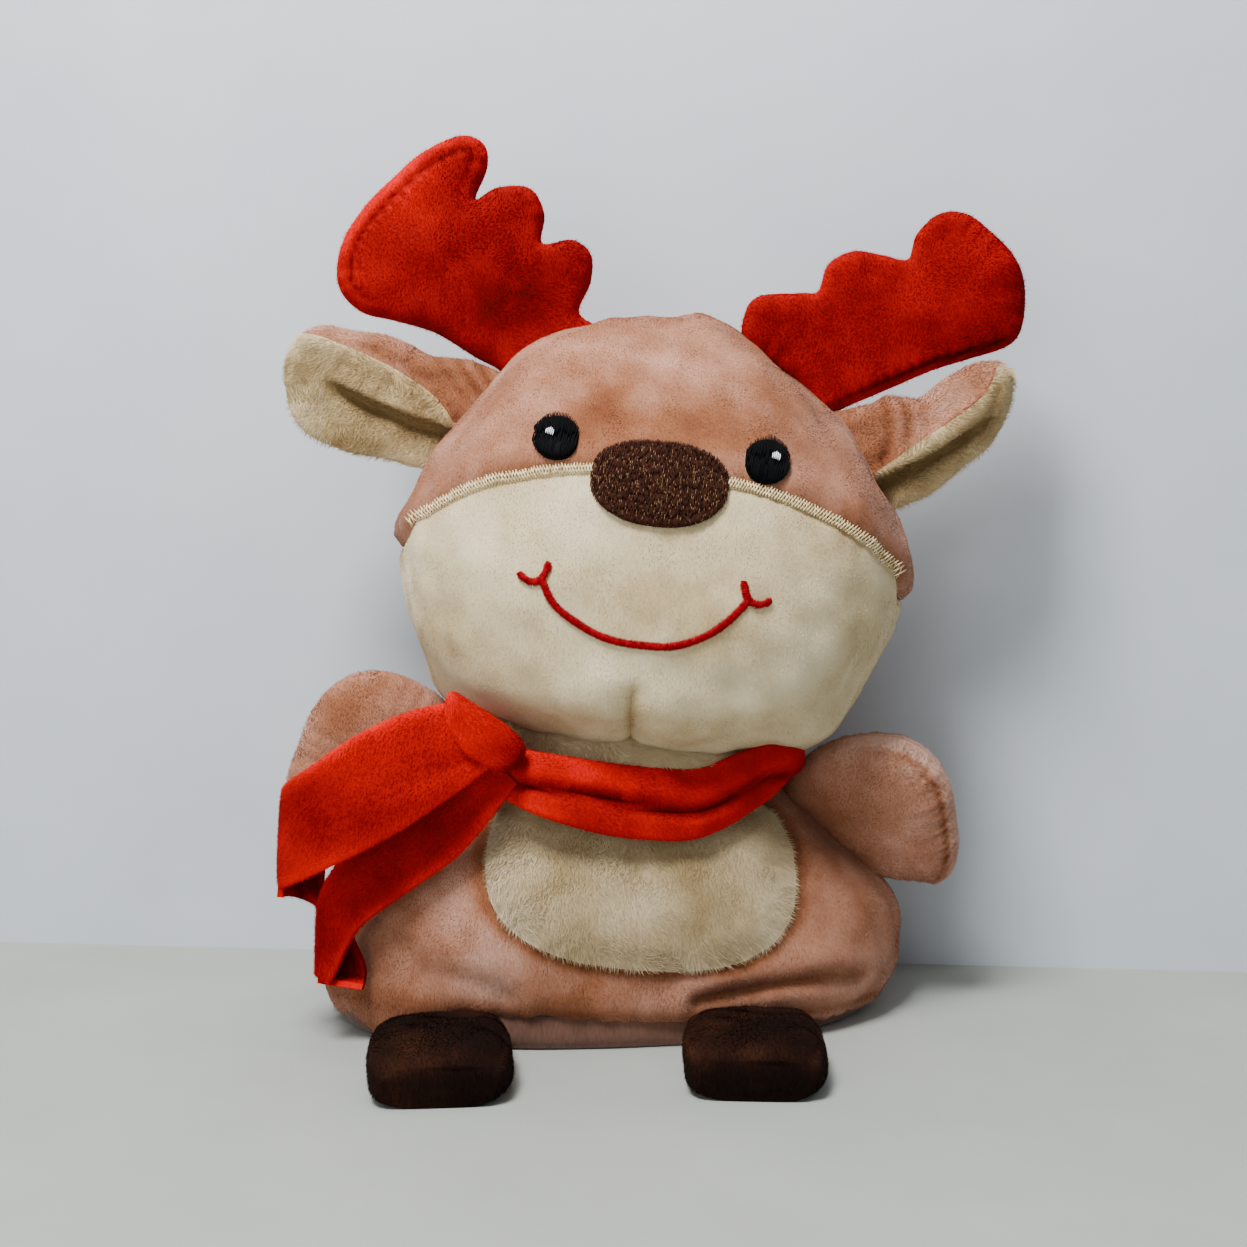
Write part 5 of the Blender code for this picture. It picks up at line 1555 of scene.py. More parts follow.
@dataclass
class Face:
    """The embroidery: eyes, nose, smile and the gold line along the muzzle seam. Sizes are millimetres."""

    head: Head
    eyes: tuple[tuple[float, float], ...] = EYE_PLACES
    eye_size: float = 12.0
    nose_width: float = 35.0
    nose_height: float = 21.5
    nose_z: float = NOSE_Z

    @staticmethod
    def smile_lines() -> list[list[tuple[float, float]]]:
        """The smile and the two short ticks at each of its corners, on the front view."""
        curve = [(-26.6, 48.3), (-23.6, 43.1), (-19.0, 39.6), (-12.1, 36.2), (-5.3, 34.8), (1.4, 34.7)]
        curve += [(8.1, 35.4), (14.4, 38.0), (20.4, 42.6), (25.2, 48.6)]
        rounded = along_rows(curve, np.linspace(0.0, 1.0, 60))
        left = [(-32.8, 49.4), (-31.2, 48.0), (-28.8, 47.4), (-26.8, 48.5), (-25.8, 50.5), (-25.4, 53.0)]
        right = [(23.7, 53.3), (24.2, 50.8), (25.2, 48.8), (27.2, 47.8), (29.4, 48.1), (31.2, 49.3)]
        return [[tuple(p) for p in rounded], left, right]

    def pad(
        self,
        shop: Workshop,
        name: str,
        x: float,
        z: float,
        size: tuple[float, float],
        lift: float,
        finish: RayonThread,
        flare: float = 0.0,
    ) -> bpy.types.Object:
        """The solid middle of an embroidered patch, under its stitches.

        Args:
            shop: The workshop.
            name: The piece's name.
            x: Its middle, across.
            z: Its middle, up.
            size: Its width and height.
            lift: How far it stands out.
            finish: Its thread.
            flare: How much wider it is above its middle.

        Returns:
            The piece.
        """
        turns = np.linspace(0.0, 2.0 * math.pi, 64, endpoint=False)
        shares = np.array([1.0, 0.985, 0.95, 0.85, 0.65, 0.4, 0.15, 0.03])[:, None]
        lifts = np.array([-0.35, 0.35, 0.6, 0.8, 0.92, 0.98, 1.0, 1.0])[:, None]
        across = x + size[0] / 2.0 * powered(np.cos(turns), 2.25) * shares * (1.0 + flare * np.sin(turns))
        up = z + size[1] / 2.0 * powered(np.sin(turns), 2.25) * shares
        points, out = self.head.front_at(across, up)
        skin = Skin.of(points + out * (lifts * lift)[..., None] * MM, out, closed=True).placed(HEAD_FRAME)
        return cloth_mesh(name, skin, shop.plain(finish), 0.5 * MM)

    def strands(
        self, shop: Workshop, name: str, rows: list[tuple[float, ...]], finish: RayonThread, width: float
    ) -> bpy.types.Object:
        """Threads laid on the face.

        Args:
            shop: The workshop.
            name: The piece's name.
            rows: For each stitch its two ends on the front view and its lift.
            finish: The thread.
            width: The thread's width.

        Returns:
            The piece.
        """
        table = np.array(rows)
        first, out_first = self.head.front_at(table[:, 0], table[:, 1])
        second, out_second = self.head.front_at(table[:, 2], table[:, 3])
        out = unit(out_first + out_second)
        first, second = (HEAD_FRAME.points(p + out * table[:, 4:5] * MM) for p in (first, second))
        out = out @ HEAD_FRAME.turn.T
        run = second - first
        return shop.sew(name, (first + second) / 2.0, unit(run), out, np.linalg.norm(run, axis=1), finish, width)

    def nose_rows(
        self, pitch: float, lengths: tuple[float, float], share: float, raised: float
    ) -> list[tuple[float, ...]]:
        """Upright threads side by side, in short staggered lengths.

        Args:
            pitch: From thread to thread.
            lengths: The shortest and the longest.
            share: How many of them are laid.
            raised: How far they stand out over the others.

        Returns:
            Rows for strands.
        """
        random = np.random.default_rng(81)
        rows = []
        for x in np.arange(-17.3, 17.4, pitch):
            top = self.nose_height / 2.0 * (1.0 - abs(x / 17.6) ** 2.25) ** (1.0 / 2.25)
            z = -top + random.uniform(-0.3, 0.3)
            while z < top - 0.4:
                end = min(z + random.uniform(*lengths), top + random.uniform(-0.1, 0.3))
                inner = 1.0 - max(abs(x / 17.5), abs(z + end) / 2.0 / 10.7) ** 4
                lift = 0.85 + 0.7 * inner + random.uniform(0.0, 0.1) + raised
                flare = 1.0 + 0.05 * (z + end) / self.nose_height
                if random.random() < share:
                    rows.append((x * flare, self.nose_z + z, x * flare, self.nose_z + end, lift))
                z = end - 0.1
        return rows

    def eye_rows(self, x: float, z: float) -> list[tuple[float, float, float, float, float]]:
        """Upright threads across an eye, with an uneven rim.

        Args:
            x: The eye's middle, across.
            z: The eye's middle, up.

        Returns:
            Rows for strands.
        """
        random = np.random.default_rng(int(90 + x))
        rows = []
        radius = self.eye_size / 2.0
        for side in np.arange(-5.6, 5.65, 0.38):
            reach = math.sqrt(max(radius**2 - side**2, 0.3))
            cuts = [-reach + random.uniform(-0.4, 0.1), random.uniform(-1.5, 1.5), reach + random.uniform(-0.1, 0.4)]
            for start, end in zip(cuts, cuts[1:]):
                lift = 0.95 + 0.3 * (1.0 - abs(side) / radius) + random.uniform(0.0, 0.12)
                rows.append((x + side - 0.12, z + start, x + side + 0.12, z + end, lift))
        return rows

    def crosses(self, side: Side) -> list[tuple[float, float, float, float, float]]:
        """Crossed gold stitches over the muzzle seam, from the nose to the side of the head.

        Args:
            side: Which side of the nose.

        Returns:
            Rows for strands.
        """
        random = np.random.default_rng(95)
        rows = []
        for x in np.arange(17.6, 66.0, 0.78):
            slope = -self.head.drop * self.head.roundness * (2.0 / HEAD_WIDTH) ** 2.5 * x**1.5
            out = np.array([-slope, 1.0]) / math.hypot(slope, 1.0)
            run = np.array([1.0, slope]) / math.hypot(slope, 1.0)
            middle = np.array([x, float(self.head.seam_height(np.array(x)))])
            for lean in (-0.5, 0.5):
                a = middle + out * random.uniform(1.15, 1.55) + run * lean
                b = middle - out * random.uniform(1.15, 1.5) - run * lean
                rows.append((side.value * a[0], a[1], side.value * b[0], b[1], 0.55 + 0.25 * (lean > 0)))
        return rows

    def satin(self, line: Sequence[tuple[float, float]], width: float, lift: float):
        """Short threads side by side across a line.

        Args:
            line: The line on the front view.
            width: The satin's width.
            lift: How far its crown stands out.

        Returns:
            Rows for strands.
        """
        random = np.random.default_rng(97)
        table = np.array(line)
        steps = np.concatenate([[0.0], np.cumsum(np.linalg.norm(np.diff(table, axis=0), axis=1))])
        rows = []
        for place in np.arange(0.0, steps[-1], 0.4):
            here = np.array([np.interp(place, steps, table[:, k]) for k in (0, 1)])
            ahead = np.array([np.interp(place + 0.3, steps, table[:, k]) for k in (0, 1)])
            behind = np.array([np.interp(place - 0.3, steps, table[:, k]) for k in (0, 1)])
            run = unit(ahead - behind)
            across = np.array([-run[1], run[0]]) + 0.25 * run
            half = width / 2.0 * random.uniform(0.9, 1.12) * (0.75 + 0.25 * min(1.0, place, steps[-1] - place))
            a, b = here + across * half, here - across * half
            rows.append((a[0], a[1], b[0], b[1], lift))
        return rows

    def build(self, shop: Workshop) -> None:
        """Builds the embroidery.

        Args:
            shop: The workshop.
        """
        size = (self.nose_width, self.nose_height)
        nose = self.pad(shop, "nose_pad", 0.0, self.nose_z, size, 1.45, NOSE_THREAD, 0.05)
        dress([nose], "head", ["nose"])
        rows = self.nose_rows(0.32, (1.8, 3.6), 1.0, 0.0)
        threads = self.strands(shop, "nose_threads", rows, NOSE_THREAD, 0.34)
        rows = self.nose_rows(0.41, (0.5, 1.2), 0.3, 0.07)
        specks = self.strands(shop, "nose_speck_threads", rows, SPECK_THREAD, 0.2)
        dress([threads, specks], "head", ["nose"])
        for side, (x, z) in zip(Side, self.eyes):
            size = (self.eye_size - 0.6, self.eye_size - 0.6)
            pad = self.pad(shop, f"eye_{side.word}_pad", x, z, size, 1.1, EYE_THREAD)
            rim = self.strands(shop, f"eye_{side.word}_threads", self.eye_rows(x, z), EYE_THREAD, 0.42)
            dress([pad, rim], "head", [f"eye_{side.word}"])
            at = x + side.value * 1.6
            glint = [
                (at + 0.45 * k, z + 0.1 - 0.1 * k, at + 0.45 * k + 0.2, z + 2.3 - 0.3 * abs(k), 1.5)
                for k in range(-2, 3)
            ]
            piece = self.strands(shop, f"eye_glint_{side.word}_threads", glint, GLINT_THREAD, 0.42)
            dress([piece], "head", [f"eye_glint_{side.word}"])
            piece = self.strands(shop, f"muzzle_trim_{side.word}_stitches", self.crosses(side), GOLD_THREAD, 0.42)
            dress([piece], "head", [f"muzzle_trim_{side.word}"])
        rows = [row for line in self.smile_lines() for row in self.satin(line, 2.1, 0.5)]
        piece = self.strands(shop, "smile_satin", rows, SMILE_THREAD, 0.52)
        dress([piece], "head", ["smile"])


@dataclass
class Pad:
    """A flat stuffed piece between two cloths that are sewn along one outline. Sizes are millimetres.

    Attributes:
        outline: The sewn edge's points, in metres, with Y at 0.
        puff: How far each cloth swells.
        reach: How far from the edge it is fullest.
        fold: How deep the pleats at the edge are.
        band: Between which shares of the outline the back cloth rolls round to the front.
        band_width: How far it rolls.
        seed: Fixes the lumps.
        step: Between the mesh's points.
        lines: Lines across the pad that the mesh's edges follow.
    """

    outline: Array
    puff: float
    reach: float
    fold: float
    band: tuple[float, float]
    band_width: float
    seed: int
    step: float = 1.25
    lines: tuple[tuple[tuple[float, float], ...], ...] = ()

    def flat(self) -> tuple[Array, list, Array, Array]:
        """The pad's plane, filled with even triangles.

        Returns:
            The points in millimetres, the triangles, each point's distance from the edge and its share of the way
            round.
        """
        ring = self.outline[:, (0, 2)] / MM
        count = len(ring)
        low, high = ring.min(axis=0), ring.max(axis=0)
        inner = []
        for row, up in enumerate(np.arange(low[1], high[1], self.step * 0.866)):
            shift = self.step / 2.0 * (row % 2)
            inner += [(across, up) for across in np.arange(low[0] + shift, high[0], self.step)]
        inner = np.array(inner)
        closed = np.vstack([ring, ring[:1]])
        clear = line_distance(inner, closed) > self.step * 0.6
        edges = [(i, (i + 1) % count) for i in range(count)]
        kept = []
        for line in self.lines:
            steps = max(8, int(np.linalg.norm(np.diff(np.array(line), axis=0), axis=1).sum() / self.step))
            points = along_rows(line, np.linspace(0.0, 1.0, steps))
            first = count + sum(len(other) for other in kept)
            edges += [(first + i, first + i + 1) for i in range(steps - 1)]
            clear &= line_distance(inner, points) > self.step * 0.6
            kept.append(points)
        places = np.vstack([ring, *kept, inner[clear]])
        found = delaunay_2d_cdt([Vector(p) for p in places.tolist()], edges, [], 1, 1e-4)
        table = np.array([tuple(face) for face in found[2]])
        used, renamed = np.unique(table, return_inverse=True)
        flat = np.array([tuple(p) for p in found[0]])[used]
        faces = [tuple(face) for face in renamed.reshape(table.shape).tolist()]
        distance = line_distance(flat, closed)
        nearest = np.argmin(np.linalg.norm(flat[:, None] - ring[None], axis=-1), axis=1)
        return flat, faces, distance, nearest / count

    def skin(self, sense: int) -> Skin:
        """One face of the pad.

        Args:
            sense: -1 for the front and 1 for the back.

        Returns:
            Its skin.
        """
        flat, faces, distance, share = self.flat()
        deep = np.clip(distance / self.reach, 0.0, 1.0)
        low, high = self.band
        window = np.sin(math.pi * np.clip((share - low) / (high - low), 0.0, 1.0)) ** 0.6 * (sense < 0)
        groove = window * hump(distance, self.band_width, 0.75)
        rolled = window * (distance < self.band_width)
        lift = 0.3 + 1.05 * ease(-0.5, 2.0, distance) + self.puff * (1.0 - (1.0 - deep) ** 2.2) ** 0.6
        lift = lift + puckers(share * 190.0, distance - 1.2, 6.5, self.fold) * ease(0.0, 1.2, distance) - 0.9 * groove
        points = np.column_stack([flat[:, 0], 0.0 * distance, flat[:, 1]]) * MM
        lift = lift + (0.35 * lumps(points, 17.0 * MM, self.seed) * ease(0.0, 7.0, distance))
        points[:, 1] = sense * lift * MM
        skin = Skin.of(points, np.array([0.0, float(sense), 0.0]), faces=faces)
        # Painted light: the pad is lighter at its edge and on the rolled band, darker in the band's groove, and striped
        # lighter and darker beside the band where it puckers.
        rim = 1.0 - ease(0.0, 2.5, distance)
        painted_pucker_light = window * hump(distance, self.band_width + 1.6, 1.4) * np.sin(share * 190.0 * 2.6)
        skin.growth = 1.0 + 0.4 * rim - 0.5 * groove
        skin.tone = 0.5 * rim - 1.8 * groove + 0.6 * rolled + 0.6 * painted_pucker_light
        return skin


@dataclass
class Arm:
    """A stuffed paddle on a shoulder. Sizes are millimetres and shares of length and reach."""

    side: Side
    swing: float
    length: float = 52.0
    reach: float = 39.0
    puff: float = 8.5
    slope: float = 39.5
    root: tuple[float, float, float] = (44.0, -4.5, 70.0)
    root_shares: tuple[float, ...] = (0.71, 0.55, 0.365, 0.18, 0.02)
    shares: tuple[tuple[float, float], ...] = (
        (-0.03, 0.24),
        (-0.01, 0.52),
        (0.10, 0.80),
        (0.24, 0.96),
        (0.41, 1.0),
        (0.58, 0.94),
        (0.74, 0.80),
        (0.88, 0.66),
        (0.97, 0.51),
        (0.99, 0.36),
        (0.90, 0.22),
        (0.80, 0.08),
    )

    def build(self, shop: Workshop) -> None:
        """Builds the arm's two cloths and its filling.

        Args:
            shop: The workshop.
        """
        sign = self.side.value
        x, y, z = self.root
        seat = LEANING.then(turn_about("Y", sign * self.slope), (sign * x * MM, y * MM, z * MM))
        start = (joint_place(f"arm_swing_{self.side.word}") - seat.origin) @ seat.turn
        hinge = seat.then(turn_about("X", self.swing), start)
        points = [(sign * u * self.length * MM, 0.0, v * self.reach * MM) for u, v in self.shares]
        outline = seated(points, self.root_shares, sign * self.length * MM, seat, LEANING, TORSO_FORM) - start
        centre = outline.mean(axis=0)
        band = (0.38, 0.9) if self.side is Side.LEFT else (2.0, 3.0)
        pad = Pad(closed_curve(outline.tolist(), 132), self.puff, 19.0, 0.5, band, 2.6, 110 + sign)
        for sense, word in ((-1, "front"), (1, "back")):
            skin = pad.skin(sense)
            # Painted light: the arm is darker near the hinge, where it meets the shoulder, and the deer's left arm is
            # lighter all over.
            skin.tone = skin.tone - 0.6 * hump(skin.points[..., 2] / MM, -2.0, 9.0) + 0.3 * (self.side is Side.LEFT)
            skin.brushed(unit(skin.points - centre) * 0.6 + np.array([0.0, 0.0, 0.8]), 0.6, 115)
            skin = skin.placed(hinge)
            node = f"arm_{word}_panel_{self.side.word}"
            cloth = cloth_mesh(f"{node}_cloth", skin, shop.backing(TAN))
            nap = shop.fur(f"{node}_nap", skin, TAN, 4.6 if sense < 0 else 1.8)
            dress([cloth, nap], f"arm_{self.side.word}", [node])
        shop.filling(f"arm_stuffing_{self.side.word}", f"arm_{self.side.word}", "fibre_filling", FILLING)


def seated(
    points: list,
    root_shares: Sequence[float],
    span: float,
    seat: Placement,
    form_frame: Placement,
    form: StuffedForm,
) -> Array:
    """Adds the root's edge, which follows a form's silhouette, to a limb's outline.

    Args:
        points: The outline's other points, in the limb's frame.
        root_shares: Places along the root, as shares of the span.
        span: The signed span.
        seat: The limb's frame.
        form_frame: The form's frame.
        form: What the limb is sewn to.

    Returns:
        All points of the outline.
    """
    steps = np.linspace(-0.5, 0.5, 800) * max(p[2] for p in points)
    edge = []
    for share in root_shares:
        line = np.stack([np.full(800, share * span), np.zeros(800), steps], axis=-1)
        local = (seat.points(line) - form_frame.origin) @ form_frame.turn
        inside = np.abs(local[:, 0]) < form.half_width(local[:, 2])
        edge.append((share * span, 0.0, steps[np.nonzero(inside)[0][-1]] - SEWN_IN))
    return np.array(edge + points)


@dataclass
class Antler:
    """A flat, lobed, lightly padded antler in the head's side seam. Sizes are millimetres and shares."""

    side: Side
    turn: float
    shares: tuple[tuple[float, float], ...]
    span: float = 64.0
    reach: float = 67.0
    puff: float = 2.2
    seat_x: float = 31.0
    seat_z: float = 108.5
    centre: tuple[float, float] = (0.25, 0.59)
    root_shares: tuple[float, ...] = (0.225, 0.1125, 0.0, -0.1125, -0.225)

    def build(self, shop: Workshop) -> None:
        """Builds the antler's two cloths and its padding.

        Args:
            shop: The workshop.
        """
        sign = self.side.value
        seat = HEAD_FRAME.then(turn_about("Y", sign * self.turn), (sign * self.seat_x * MM, 0.0, self.seat_z * MM))
        points = [(sign * u * self.span * MM, 0.0, v * self.reach * MM) for u, v in self.shares]
        outline = seated(points, self.root_shares, sign * self.span * MM, seat, HEAD_FRAME, HEAD_FORM)
        centre = np.array([sign * self.centre[0] * self.span, 0.0, self.centre[1] * self.reach]) * MM
        band, wide = ((0.78, 1.02), 1.9) if self.side is Side.LEFT else ((0.46, 0.84), 4.2)
        pad = Pad(closed_curve(outline.tolist(), 200), self.puff, 8.0, 0.3, band, wide, 120 + sign)
        for sense, word in ((-1, "front"), (1, "back")):
            skin = pad.skin(sense)
            z = skin.points[..., 2] / MM
            # Painted shade: the deer's right antler is darker in its lower part, near the head, and the left one a
            # little darker all over.
            inner = ease(2.0, 26.0, self.reach * 0.95 - z) if self.side is Side.RIGHT else 0.25
            skin.tone = skin.tone - 0.1 - 0.55 * inner
            skin.brushed(unit(skin.points - centre) + np.array([0.0, 0.0, 0.3]), 0.8, 125)
            skin = skin.placed(seat)
            node = f"antler_{word}_{self.side.word}"
            cloth = cloth_mesh(f"{node}_cloth", skin, shop.backing(ROSE))
            nap = shop.fur(f"{node}_nap", skin, ROSE, 4.6 if sense < 0 else 1.8)
            dress([cloth, nap], f"antler_{self.side.word}", [node])
        shop.filling(f"antler_padding_{self.side.word}", f"antler_{self.side.word}", "fibre_filling", FILLING, 0.1)


@dataclass
class Ear:
    """A leaf of two cloths, folded forward over its lining. Sizes are millimetres in the head's frame.

    Attributes:
        side: Which ear.
        outline: From the lower root by the tip to the upper root.
        sewn: The root inside the head.
        edge: Where the folded outer cloth meets the lining.
        crevice: Under the fold, from the root to the tip.
        creases: Places from the root, and how deep.
        middle_y: Of the sewn edge.
    """

    side: Side
    outline: tuple[tuple[float, float], ...]
    sewn: tuple[tuple[float, float], ...]
    edge: tuple[tuple[float, float], ...]
    crevice: tuple[tuple[float, float], ...]
    creases: tuple[tuple[float, float], ...] = ((4.0, 0.8), (9.5, 0.6), (14.5, 0.3))
    middle_y: float = -1.2

    def over(self, line: Sequence[tuple[float, float]], x: Array, z: Array) -> Array:
        """How far places are above one of the ear's lines."""
        table = np.array(sorted(line))
        slope = np.gradient(table[:, 1], table[:, 0]).mean()
        return (z - np.interp(x, table[:, 0], table[:, 1])) / math.hypot(1.0, slope)

    def front(self, pad: Pad) -> tuple[Skin, Array]:
        """The front: the fold, the lining's lip, the crevice under it and the lining below.

        Args:
            pad: The ear's flat shape.

        Returns:
            The skin, and for each face whether it belongs to the outer cloth.
        """
        flat, faces, distance, _ = pad.flat()
        x, z = flat[:, 0], flat[:, 1]
        away = np.abs(x)
        tip = abs(self.crevice[-1][0])
        root = abs(self.crevice[0][0])
        above = self.over(self.crevice, x, z)
        tan = self.over(self.edge, x, z)
        opened = ease(-4.0, 9.0, tip - away)
        dome = 2.6 * (1.0 - (1.0 - np.clip(distance / 6.0, 0.0, 1.0)) ** 2.2) ** 0.6
        lip = 4.6 * ease(-0.2, 1.6, above) * (1.0 - 0.3 * ease(4.0, 12.0, above)) - 1.2 * hump(above, -1.4, 1.6)
        soft = 3.4 * ease(-9.0, 8.0, above)
        rim = 1.0 - ease(0.0, 3.5, distance)
        rise = (opened * lip + (1.0 - opened) * soft) * ease(0.0, 5.0, distance + 1.5)
        step = 1.0 * ease(0.0, 1.6, tan) - 0.8 * hump(tan, -1.6, 1.6)
        way = away - root + 0.02 * (z - self.edge[0][1] - 12.0) ** 2
        creases = sum(
            share * (hump(way, place, 1.4) - 0.6 * hump(way, place + 3.0, 2.2)) for place, share in self.creases
        )
        creases = creases * ease(-1.0, 2.0, tan)
        points = np.column_stack([x, 0.0 * x, z]) * MM
        soft_lumps = 0.4 * lumps(points, 14.0 * MM, 131) + 0.1 * lumps(points, 6.0 * MM, 132)
        lift = 0.3 + dome + rise - step * (distance > 0.8) - 0.9 * creases + soft_lumps * ease(0.0, 4.0, distance)
        points[:, 1] = (self.middle_y - lift) * MM
        skin = Skin.of(points, np.array([0.0, -1.0, 0.0]), faces=faces)
        # Painted light: the lining is darkest in the crevice, darker under the fold and lighter at the rim and just
        # below the fold's edge; the outer cloth is darker near the root and in its creases and lighter at the rim.
        near = np.exp(-np.abs(above) / 2.4) * opened * (tan < 0.0)
        lining = -0.45 + 0.6 * rim + 0.6 * hump(tan, -1.5, 2.0) - 3.0 * near * (above < 0.6) - 1.2 * near
        lining = lining - 0.8 * ease(-1.0, -9.0, -above) * opened
        outer = 0.1 - 1.1 * (1.0 - ease(0.0, 22.0, away - root)) - 0.9 * creases + 0.5 * rim
        skin.tone = np.where(tan < 0.0, lining, outer)
        skin.growth = np.where(tan < 0.0, 1.15 + 0.6 * rim + 0.9 * hump(tan, -0.8, 1.8), 0.75 + 0.3 * rim)
        skin.growth = skin.growth * (1.0 - 0.5 * near)
        middles = flat[np.array(faces)].mean(axis=1)
        return skin, self.over(self.edge, middles[:, 0], middles[:, 1]) > 0.0

    def build(self, shop: Workshop) -> None:
        """Builds the ear's lining and outer cloth.

        Args:
            shop: The workshop.
        """
        places = [(x * MM, 0.0, z * MM) for x, z in self.outline + self.sewn]
        pad = Pad(closed_curve(places, 150), 1.2, 6.0, 0.0, (2.0, 3.0), 1.0, 130, 1.0, (self.edge,))
        front, tan = self.front(pad)
        back = pad.skin(1)
        back.points = back.points + np.array([0.0, self.middle_y * MM, 0.0])
        centre = np.array([self.crevice[0][0] * 0.9, 0.0, self.crevice[0][1]]) * MM
        body = f"ear_{self.side.word}"
        parts = (
            ("outer", "back", back, TAN, 1.8),
            ("outer", "fold", front.part(tan), TAN, 5.0),
            ("lining", "cloth", front.part(~tan), CREAM, 5.5),
        )
        for word, part, skin, cloth, density in parts:
            away = unit((skin.points - centre) * np.array([1.0, 0.0, 1.0]))
            skin.brushed(away + np.array([0.0, 0.0, -0.5]), 0.7, 135)
            skin = skin.placed(HEAD_FRAME)
            node = f"ear_{word}_{self.side.word}"
            sheet = cloth_mesh(f"{node}_{part}", skin, shop.backing(cloth), 0.9 * MM)
            nap = shop.fur(f"{node}_{part}_nap", skin, cloth, density, 1.1)
            dress([sheet, nap], body, [node])


@dataclass
class Foot:
    """A stuffed foot, rounded and squared, that lies in front of the base. Sizes are millimetres."""

    side: Side
    turn: float
    width: float = 35.0
    length: float = 40.0
    height: float = 14.5
    squareness: float = 4.0
    shares: tuple[tuple[float, float, float], ...] = (
        (0.0, 0.90, 0.76),
        (0.15, 0.96, 0.84),
        (0.40, 1.0, 0.96),
        (0.70, 1.0, 1.0),
        (0.88, 0.96, 0.95),
        (0.96, 0.88, 0.84),
        (1.0, 0.74, 0.66),
    )

    def build(self, shop: Workshop) -> None:
        """Builds the foot's cloth and filling.

        Args:
            shop: The workshop.
        """
        place = Placement(turn_about("Z", self.turn), joint_place(f"foot_lift_{self.side.word}"))
        hinge_height = self.height * self.shares[0][2]
        turns = np.linspace(0.0, 2.0 * math.pi, 120, endpoint=False)
        steps = np.concatenate([np.linspace(0.0, 0.93, 40), np.linspace(0.94, 1.0, 8)])
        rows = along_rows(self.shares, steps)
        rings = [self.ring(s, w, h, turns, hinge_height) for s, w, h in rows]
        last = rings[-1]
        middle = last.mean(axis=0)
        for shrink in (0.86, 0.66, 0.42, 0.18):
            bulge = np.array([0.0, -0.5 * (1.0 - shrink**2), 0.0])
            rings.append(middle + (last - middle) * shrink + bulge)
        root = rings[0].mean(axis=0)
        rings = [root + (rings[0] - root) * shrink for shrink in (0.04, 0.4, 0.75, 0.94)] + rings
        points = np.array(rings) * MM
        skin = Skin.of(points, points - points.mean(axis=(0, 1)), closed=True)
        y, z = -points[..., 1] / MM, points[..., 2] / MM
        floor = ease(-hinge_height + 0.2, -hinge_height + 2.5, z)
        edge = np.abs(turns / math.pi - 0.5)[None, :] * 40.0 - 13.0 + 0.0 * z
        lift = (0.35 * lumps(points, 13.0 * MM, 141) + seam(np.abs(edge) * 0.4, 0.5, 0.3)) * floor
        lift = lift + puckers(y, np.abs(edge) * 0.3, 6.0, 0.25) * floor
        order = np.arange(len(rings))
        lift = lift * (ease(3.0, 10.0, order) * (1.0 - ease(44.0, 51.0, order)))[:, None]
        skin = skin.raised(lift * MM)
        skin.growth = 0.35 + 0.65 * floor
        # Painted highlight: the cloth is lighter in a band along the upper edge of the foot.
        skin.tone = 0.7 * hump(z, 0.0, 3.0) - 0.2
        skin.brushed(np.array([0.0, -0.35, -1.0]), 0.6, 145)
        skin = skin.placed(place)
        body = f"foot_{self.side.word}"
        cloth = cloth_mesh(f"foot_cover_{self.side.word}_cloth", skin, shop.backing(BROWN))
        nap = shop.fur(f"foot_cover_{self.side.word}_nap", skin, BROWN, 4.2, 0.9)
        dress([cloth, nap], body, [f"foot_cover_{self.side.word}"])
        shop.filling(f"foot_stuffing_{self.side.word}", body, "fibre_filling", FILLING, 0.1)

    def ring(self, share: float, width: float, height: float, turns: Array, hinge_height: float) -> Array:
        """A section of the foot.

        Args:
            share: How far along the foot.
            width: Its share of the width.
            height: Its share of the height.
            turns: Angles round the section.
            hinge_height: Of the hinge over the floor.

        Returns:
            The section's points, in millimetres.
        """
        across = self.width / 2.0 * width * powered(np.cos(turns), self.squareness)
        up = self.height / 2.0 * height * powered(np.sin(turns), self.squareness)
        along = np.full_like(turns, -self.length * share)
        return np.stack([across, along, self.height / 2.0 * height - hinge_height + up], axis=-1)


